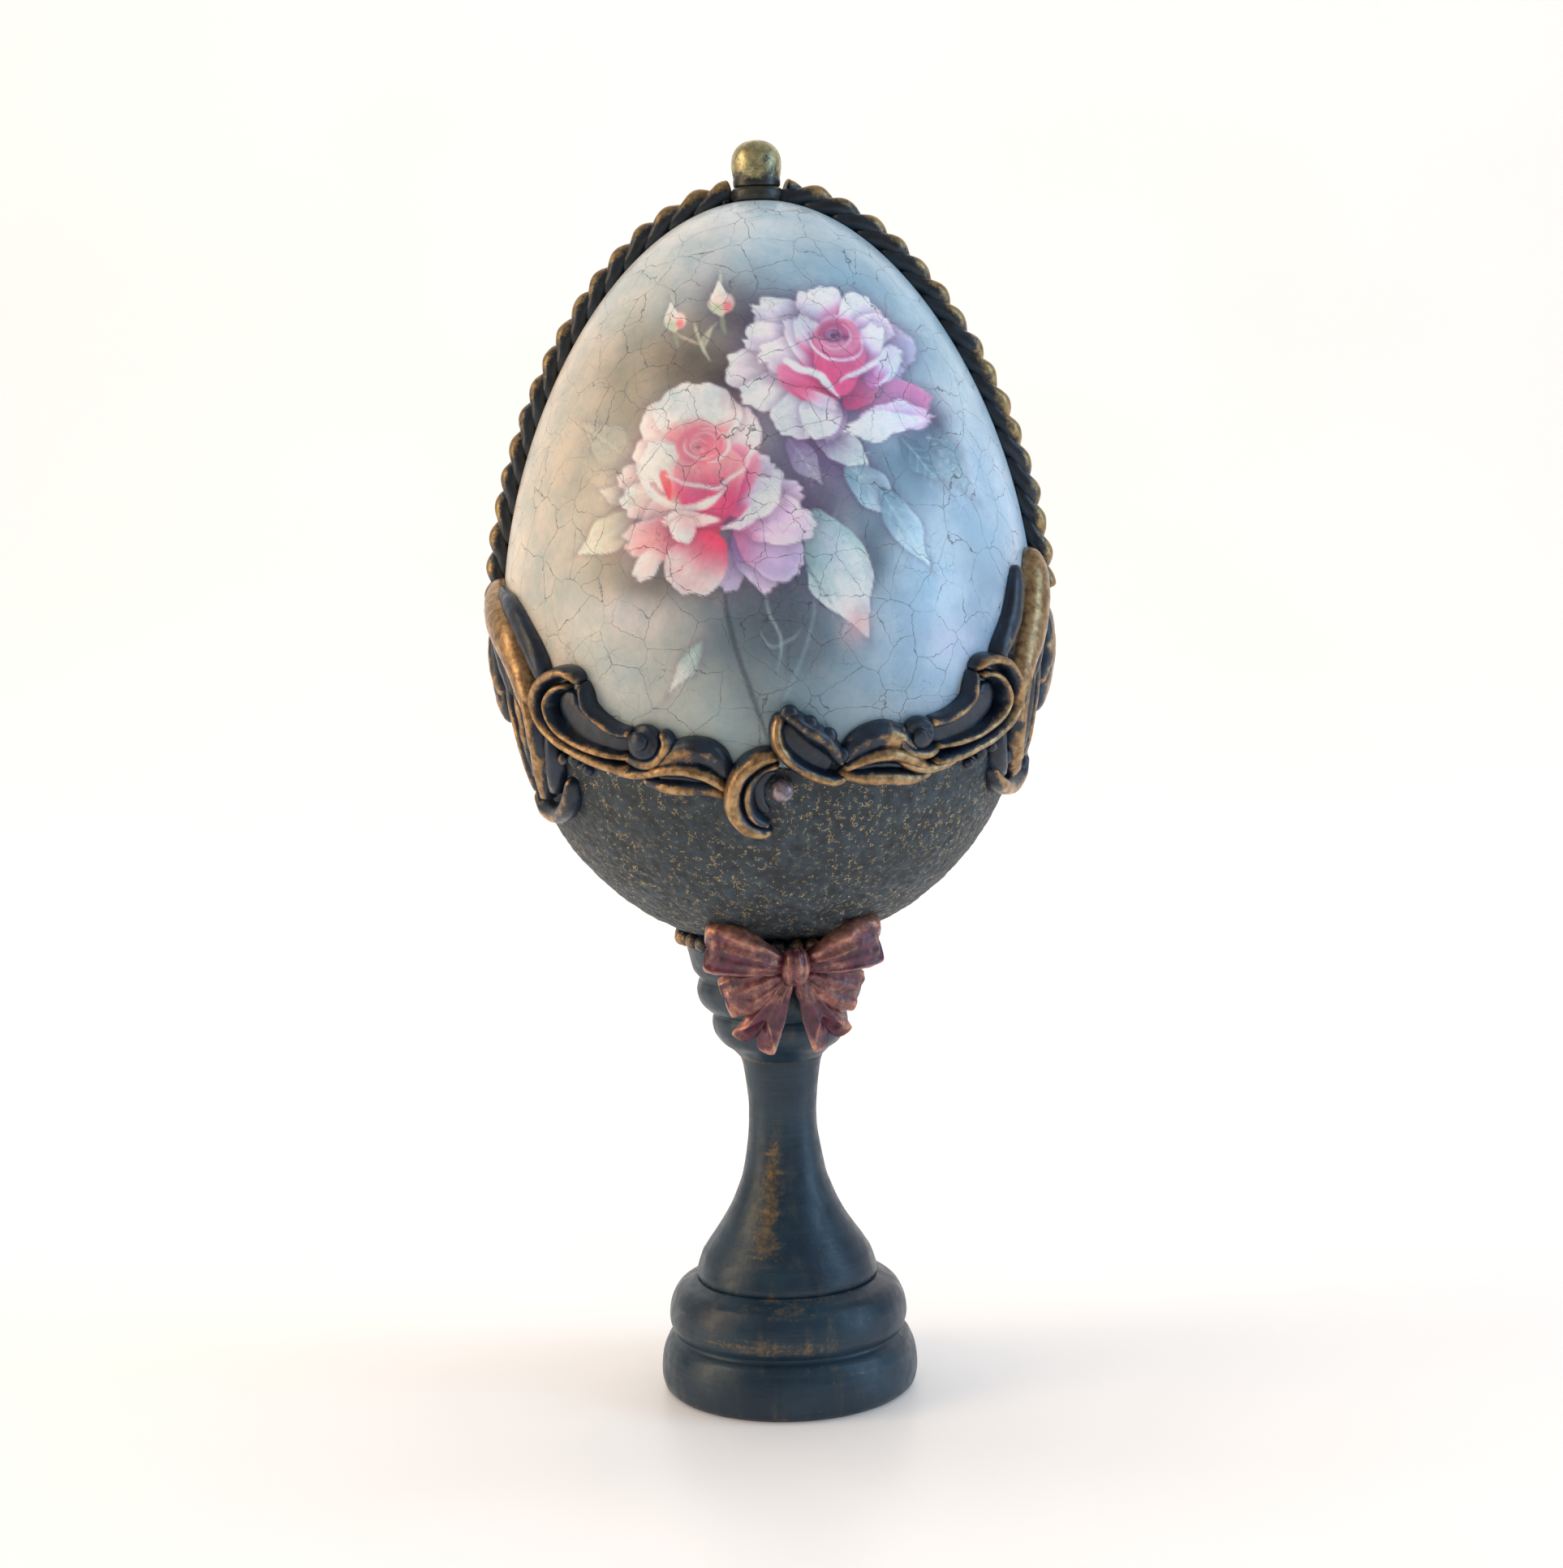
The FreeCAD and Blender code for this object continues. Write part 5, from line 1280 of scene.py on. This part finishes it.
trim("scroll_right", [
    strip([(44.4, 130.0), (46.6, 131.4), (50.6, 131.5), (54.2, 130.2), (57.2, 127.6), (58.0, 124.6),
           (56.2, 121.9),
           (52.0, 119.8), (46.8, 118.2), (41.0, 116.8), (34.7, 116.0)],
          [1.5, 1.8, 1.8, 1.8, 1.8, 1.8, 1.8, 1.8, 1.8, 1.8, 1.4],
          [2.2, 3.2, 3.6, 3.8, 3.9, 3.9, 3.8, 3.7, 3.5, 3.2, 2.4],
          0.30, 0.5, seed=31),
    strip([(46.2, 129.4), (50.2, 129.0), (53.4, 127.0), (54.4, 124.6), (52.0, 122.2), (46.8, 120.2),
           (40.8, 119.0), (35.0, 118.4)],
          [1.2, 1.5, 1.5, 1.5, 1.5, 1.5, 1.5, 1.1], [2.2, 3.0, 3.4, 3.5, 3.4, 3.2, 2.8, 2.0], 0.38, 0.5,
          seed=32),
    strip([(48.6, 128.0), (48.8, 125.8), (46.8, 123.8), (42.8, 122.0), (37.6, 120.9), (33.4, 120.6)],
          [3.0, 4.2, 4.6, 4.4, 3.8, 2.6], [1.6, 1.7, 1.7, 1.7, 1.6, 1.4], -0.22, dish=0.5, seed=33),
    strip([(44.8, 130.2), (44.0, 127.8), (43.2, 125.6), (40.2, 123.8), (36.4, 122.6), (33.0, 122.4)],
          [1.6, 1.8, 1.8, 1.8, 1.8, 1.4], [1.8, 2.7, 2.9, 2.8, 2.6, 2.0], -0.08, 0.2, seed=34),
    strip([(43.6, 116.9), (38.6, 115.6), (33.4, 115.2), (28.8, 116.0), (25.6, 117.6)],
          [1.3, 1.7, 1.8, 1.7, 1.2], [1.7, 2.5, 2.8, 2.6, 1.8], 0.42, 0.5, seed=35),
    strip([(36.6, 118.3), (33.0, 117.6), (28.6, 118.2), (26.2, 120.3), (27.2, 122.4)],
          [1.4, 1.9, 2.0, 2.0, 1.3], [1.9, 2.8, 3.0, 2.8, 1.9], 0.05, 0.3, seed=36),
    pellet(31.0, 120.8, 2.9, 1.3, 0.82, 0.05, 0.34, 2.2, 0.15)])

trim("leaf_left", [
    strip([(-26.4, 115.6), (-21.2, 118.0), (-15.6, 119.2), (-11.6, 118.0), (-9.0, 114.6)],
          [2.2, 3.4, 3.8, 3.4, 2.0], [2.0, 2.6, 2.8, 2.7, 1.8], -0.02, 0.1, seed=41, lines=0.14),
    strip([(-27.6, 115.4), (-22.8, 116.6), (-17.4, 116.8), (-12.8, 115.6), (-9.4, 113.0)],
          [1.4, 2.1, 2.2, 2.1, 1.3], [2.2, 3.4, 3.7, 3.4, 2.2], 0.50, 0.5, seed=42),
    strip([(-28.2, 114.8), (-23.2, 113.8), (-18.0, 113.5), (-13.2, 113.3), (-9.6, 112.0)],
          [1.4, 2.2, 2.4, 2.2, 1.3], [1.8, 2.7, 3.0, 2.7, 1.8], 0.22, 0.4, seed=43),
    strip([(-24.4, 115.2), (-18.8, 115.2), (-13.2, 114.2)], [1.0, 1.3, 1.0], [1.6, 1.9, 1.5], -0.5,
          seed=44)])

trim("leaf_right", [
    strip([(14.6, 116.6), (17.8, 119.6), (22.6, 120.8), (27.2, 119.8), (31.4, 117.4)],
          [2.2, 3.4, 3.8, 3.4, 2.0], [2.0, 2.6, 2.8, 2.7, 1.8], 0.02, 0.1, seed=51, lines=0.14),
    strip([(14.2, 115.8), (18.8, 117.6), (24.0, 118.2), (29.4, 117.0), (34.8, 114.9)],
          [1.4, 2.1, 2.3, 2.1, 1.3], [2.2, 3.4, 3.7, 3.4, 2.2], 0.55, 0.5, seed=52),
    strip([(13.4, 115.2), (18.2, 114.5), (24.4, 114.2), (30.4, 113.8), (35.6, 114.4)],
          [1.4, 2.2, 2.5, 2.2, 1.3], [1.8, 2.7, 3.0, 2.7, 1.8], 0.30, 0.4, seed=53),
    strip([(17.0, 116.0), (22.6, 116.4), (29.2, 115.6)], [1.0, 1.3, 1.0], [1.6, 1.9, 1.5], -0.5,
          seed=54)])

trim("centre_crescent", [
    strip([(1.6, 118.4), (-2.2, 118.2), (-5.8, 116.4), (-8.0, 113.4), (-8.2, 110.2), (-6.4, 107.6),
           (-3.4, 106.2), (-0.2, 105.9)],
          [1.6, 2.4, 2.6, 2.7, 2.7, 2.5, 2.1, 1.2], [2.6, 3.6, 4.0, 4.2, 4.1, 3.7, 3.0, 1.8], 0.46, 0.35,
          seed=61),
    strip([(1.6, 117.0), (-1.8, 116.4), (-4.2, 114.6), (-5.3, 112.0), (-4.9, 109.6), (-3.0, 107.9),
           (-0.8, 107.0)],
          [1.0, 1.5, 1.6, 1.6, 1.6, 1.4, 0.9], [2.0, 2.9, 3.2, 3.2, 3.0, 2.5, 1.6], 0.05, 0.4, seed=62),
    strip([(0.6, 116.0), (-2.0, 114.6), (-3.4, 112.6), (-3.0, 110.4), (-1.2, 108.8)],
          [1.2, 1.8, 2.0, 1.8, 1.2], [0.9, 1.0, 1.0, 1.0, 0.8], -0.5, seed=63)])

trim("centre_leaf", [
    strip([(1.9, 125.0), (1.0, 122.6), (1.6, 120.0), (4.0, 117.6), (8.0, 115.6), (12.2, 114.4),
           (15.6, 114.6)],
          [1.5, 1.9, 2.1, 2.1, 2.0, 1.8, 1.2], [2.2, 3.2, 3.7, 3.8, 3.6, 3.2, 2.2], 0.34, 0.45, seed=71),
    strip([(2.2, 125.2), (4.4, 124.2), (6.6, 122.8), (8.8, 121.6), (11.0, 120.4), (12.8, 118.6),
           (14.6, 116.4)],
          [1.6, 2.2, 2.4, 2.5, 2.4, 2.2, 1.4], [2.2, 3.1, 3.2, 3.3, 3.1, 2.9, 2.0], 0.02, 0.2, seed=72),
    strip([(3.0, 123.6), (4.0, 121.2), (6.2, 119.2), (9.2, 117.6), (12.6, 116.2)],
          [1.8, 2.8, 3.2, 3.0, 2.0], [1.5, 1.7, 1.7, 1.7, 1.4], 0.02, dish=0.5, seed=73),
    pellet(3.6, 125.1, 1.5, 1.8, 0.8, 0.10), pellet(7.4, 123.4, 1.45, 1.9, 0.8, 0.10),
    pellet(11.2, 121.4, 1.45, 1.9, 0.8, 0.06),
    pellet(14.2, 118.2, 1.3, 1.8, 0.8, 0.06)])

trim("cartouche_left", [
    strip([(-59.6, 131.2), (-57.6, 126.6), (-56.6, 121.6), (-57.6, 117.0), (-60.4, 112.8),
           (-63.8, 109.8)],
          [2.0, 2.8, 3.0, 3.0, 2.6, 1.8], [2.4, 3.3, 3.5, 3.4, 3.0, 2.0], 0.30, 0.35, rough=0.2, seed=81,
          lines=0.25),
    strip([(-63.4, 131.8), (-61.6, 126.8), (-61.2, 121.6), (-61.8, 117.0), (-64.6, 113.4)],
          [1.8, 2.6, 2.8, 2.6, 1.6], [2.0, 2.7, 2.8, 2.6, 1.8], -0.10, 0.3, rough=0.2, seed=82,
          lines=0.2),
    strip([(-68.8, 129.6), (-66.4, 124.4), (-65.2, 119.2), (-65.8, 114.6), (-68.4, 110.6)],
          [1.4, 1.9, 2.0, 1.9, 1.3], [1.8, 2.5, 2.7, 2.5, 1.8], 0.12, 0.5, seed=83),
    strip([(-53.8, 121.4), (-53.2, 117.6), (-55.0, 113.8), (-58.6, 111.0)],
          [1.8, 2.6, 2.8, 1.8], [1.8, 2.5, 2.6, 1.8], -0.15, 0.3, rough=0.2, seed=84),
    strip([(-69.0, 111.0), (-66.6, 108.2), (-61.0, 107.4), (-55.4, 108.6), (-51.2, 111.0),
           (-49.6, 114.0)],
          [1.6, 2.4, 2.6, 2.6, 2.4, 1.6], [2.0, 2.9, 3.1, 3.1, 2.8, 1.8], 0.16, 0.4, seed=85),
    pellet(-60.6, 114.0, 1.7, 1.6, 0.8, 0.05, 0.3, 1.0), pellet(-56.0, 115.4, 1.5, 1.6, 0.8, 0.32)])

trim("cartouche_right", [
    strip([(62.4, 131.2), (61.6, 126.6), (61.2, 121.6), (62.6, 117.4), (65.6, 113.6), (69.6, 111.0)],
          [2.0, 2.8, 3.0, 3.0, 2.6, 1.8], [2.4, 3.3, 3.5, 3.4, 3.0, 2.0], 0.26, 0.35, rough=0.2, seed=91,
          lines=0.25),
    strip([(67.6, 131.0), (66.2, 126.2), (65.8, 121.6), (67.2, 118.0), (70.6, 115.2)],
          [1.8, 2.6, 2.8, 2.6, 1.6], [2.0, 2.7, 2.8, 2.6, 1.8], -0.10, 0.3, rough=0.2, seed=92,
          lines=0.2),
    strip([(73.6, 131.2), (70.8, 126.4), (70.0, 121.4), (71.6, 117.2), (76.2, 114.0)],
          [1.4, 1.9, 2.0, 1.9, 1.3], [1.8, 2.5, 2.7, 2.5, 1.8], 0.12, 0.5, seed=93),
    strip([(57.0, 121.0), (56.8, 117.2), (59.2, 113.8), (63.0, 111.8)],
          [1.8, 2.6, 2.8, 1.8], [1.8, 2.5, 2.6, 1.8], -0.15, 0.3, rough=0.2, seed=94),
    strip([(80.0, 114.4), (79.0, 111.2), (73.4, 109.6), (67.0, 109.6), (60.8, 111.0), (57.0, 113.4)],
          [1.6, 2.4, 2.6, 2.6, 2.4, 1.6], [2.0, 2.9, 3.1, 3.1, 2.8, 1.8], 0.26, 0.4, seed=95),
    pellet(68.6, 114.6, 1.7, 1.6, 0.8, 0.05, 0.3, 1.0), pellet(61.6, 115.0, 1.5, 1.6, 0.8, 0.32)])

trim("cartouche_beads_left", [pellet(-50.2, 117.2, 1.05, 1.2, 0.95, 0.62),
                              pellet(-46.2, 117.3, 1.25, 1.2, 0.95, 0.15),
                              pellet(-43.0, 115.6, 1.05, 1.1, 0.95, 0.05)])
trim("cartouche_beads_right", [pellet(54.6, 117.0, 1.05, 1.2, 0.95, 0.55),
                               pellet(50.4, 116.3, 1.25, 1.2, 0.95, 0.2),
                               pellet(47.2, 114.8, 1.05, 1.1, 0.95, 0.05)])
trim("pearl", [pellet(1.9, 113.0, 1.95, 1.9, 1.0, 0.3)], PEARL)

for side, word in ((-1, "left"), (1, "right")):
    turn = 90 * side + TRIM_TURN
    piece("side_leaf_trim_" + word, [
        strip([(turn + 0.5 * side, 140.0), (turn + 3.0 * side, 136.6), (turn + 3.6 * side, 132.0),
               (turn + 1.6 * side, 128.0),
               (turn - 1.4 * side, 124.2), (turn - 2.6 * side, 120.6)],
              [3.0, 5.6, 6.4, 5.6, 4.4, 2.4], [1.8, 3.2, 3.8, 3.4, 2.8, 1.8], 0.0, 0.3, rough=0.14,
              seed=101 + side, lines=0.2),
        strip([(turn - 3.0 * side, 139.4), (turn - 2.0 * side, 135.0), (turn - 2.0 * side, 130.0),
               (turn - 4.4 * side, 125.4)],
              [1.8, 3.0, 3.0, 1.8], [1.8, 3.0, 3.2, 2.0], 0.25, 0.5, seed=104 + side),
        strip([(turn + 6.0 * side, 137.6), (turn + 8.0 * side, 133.4), (turn + 6.4 * side, 128.8),
               (turn + 3.2 * side, 125.2)],
              [1.8, 3.0, 3.0, 1.8], [1.6, 2.6, 2.8, 1.8], 0.12, 0.5, seed=107 + side)],
          GOLD, "egg", "side_leaf_" + word)


# ---------------------------------------------------------------- bare wood, room, light and camera

for node in ("egg_core", "egg_dowel", "finial_pin"):
    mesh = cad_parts[node].data
    mesh.materials.clear()
    mesh.materials.append(WOOD)


def paper_material():
    """Pale matt paper for floor and background."""
    m, n, bsdf = new_material("backdrop_paper")
    tone = n.blend(n.ramp(n.noise(3.0, 2), 0.3, 0.7), (0.86, 0.835, 0.82), (0.90, 0.875, 0.865))
    n.link(tone, bsdf.inputs["Base Color"])
    n.link(n.ramp(n.noise(40, 3), 0.3, 0.7, 0.30, 0.42), bsdf.inputs["Roughness"])
    bsdf.inputs["Specular IOR Level"].default_value = 0.25
    bsdf.inputs["Emission Color"].default_value = (1.0, 0.95, 0.92, 1)
    bsdf.inputs["Emission Strength"].default_value = 0.16
    return m


def backdrop():
    """Pale sheet: flat under the object, then curved up behind it."""
    bend, back, wide = 0.45, 0.75, 2.4
    line = [(-1.6, 0.0), (back, 0.0)]
    line += [(back + bend * math.sin(a), bend * (1 - math.cos(a)))
             for a in np.linspace(0, math.pi / 2, 24)[1:]]
    line += [(back + bend, 2.6)]
    points = np.array([[(x, y, z) for x in np.linspace(-wide, wide, 9)] for y, z in line])
    mesh = bpy.data.meshes.new("backdrop")
    nu, nv = points.shape[:2]
    faces = [(i * nv + j, i * nv + j + 1, (i + 1) * nv + j + 1, (i + 1) * nv + j)
             for i in range(nu - 1) for j in range(nv - 1)]
    mesh.from_pydata(points.reshape(-1, 3).tolist(), [], faces)
    mesh.polygons.foreach_set("use_smooth", np.ones(len(mesh.polygons), bool))
    mesh.materials.append(paper_material())
    obj = bpy.data.objects.new("backdrop", mesh)
    bpy.context.scene.collection.objects.link(obj)
    obj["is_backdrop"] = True


def soft_light(name, place, aim, size, power, colour, mirrored=True):
    """Rectangular light; one that isn't mirrored gives no reflections."""
    light = bpy.data.lights.new(name, "AREA")
    light.shape = "RECTANGLE"
    light.size, light.size_y = size
    light.energy = power
    light.color = colour
    obj = bpy.data.objects.new(name, light)
    obj.location = place
    obj.visible_glossy = mirrored
    obj.rotation_euler = (Vector(aim) - Vector(place)).to_track_quat("-Z", "Y").to_euler()
    bpy.context.scene.collection.objects.link(obj)
    obj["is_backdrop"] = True


backdrop()
aim = (0.0, 0.0, 0.12)
soft_light("warm_window", (-1.0, -0.22, 0.45), aim, (0.5, 1.2), 6.2, (1.0, 0.76, 0.50))
soft_light("cool_window", (1.0, -0.26, 0.40), aim, (0.5, 1.2), 5.6, (0.42, 0.71, 1.0))
soft_light("ceiling", (0.0, 0.35, 1.5), aim, (1.8, 1.2), 6.2, (1.0, 0.96, 0.92), mirrored=False)
soft_light("backdrop_wash", (0.0, 0.15, 1.5), (0.0, 1.1, 0.45), (2.6, 0.5), 11.5, (1.0, 0.955, 0.89),
           mirrored=False)

world = bpy.data.worlds.new("room")
bpy.context.scene.world = world
world.use_nodes = True
world.node_tree.nodes["Background"].inputs[0].default_value = (0.98, 0.97, 0.97, 1)
world.node_tree.nodes["Background"].inputs[1].default_value = 0.30

camera_data = bpy.data.cameras.new("camera")
camera_data.lens = 59.8
camera = bpy.data.objects.new("camera", camera_data)
camera.matrix_world = (Matrix.Translation((0.00139, -0.456, 0.1596))
                       @ Matrix.Rotation(math.radians(83.6), 4, "X")
                       @ Matrix.Rotation(math.radians(-1.6), 4, "Z"))
bpy.context.scene.collection.objects.link(camera)
bpy.context.scene.camera = camera
bpy.context.scene.view_settings.view_transform = "Standard"

low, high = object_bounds()
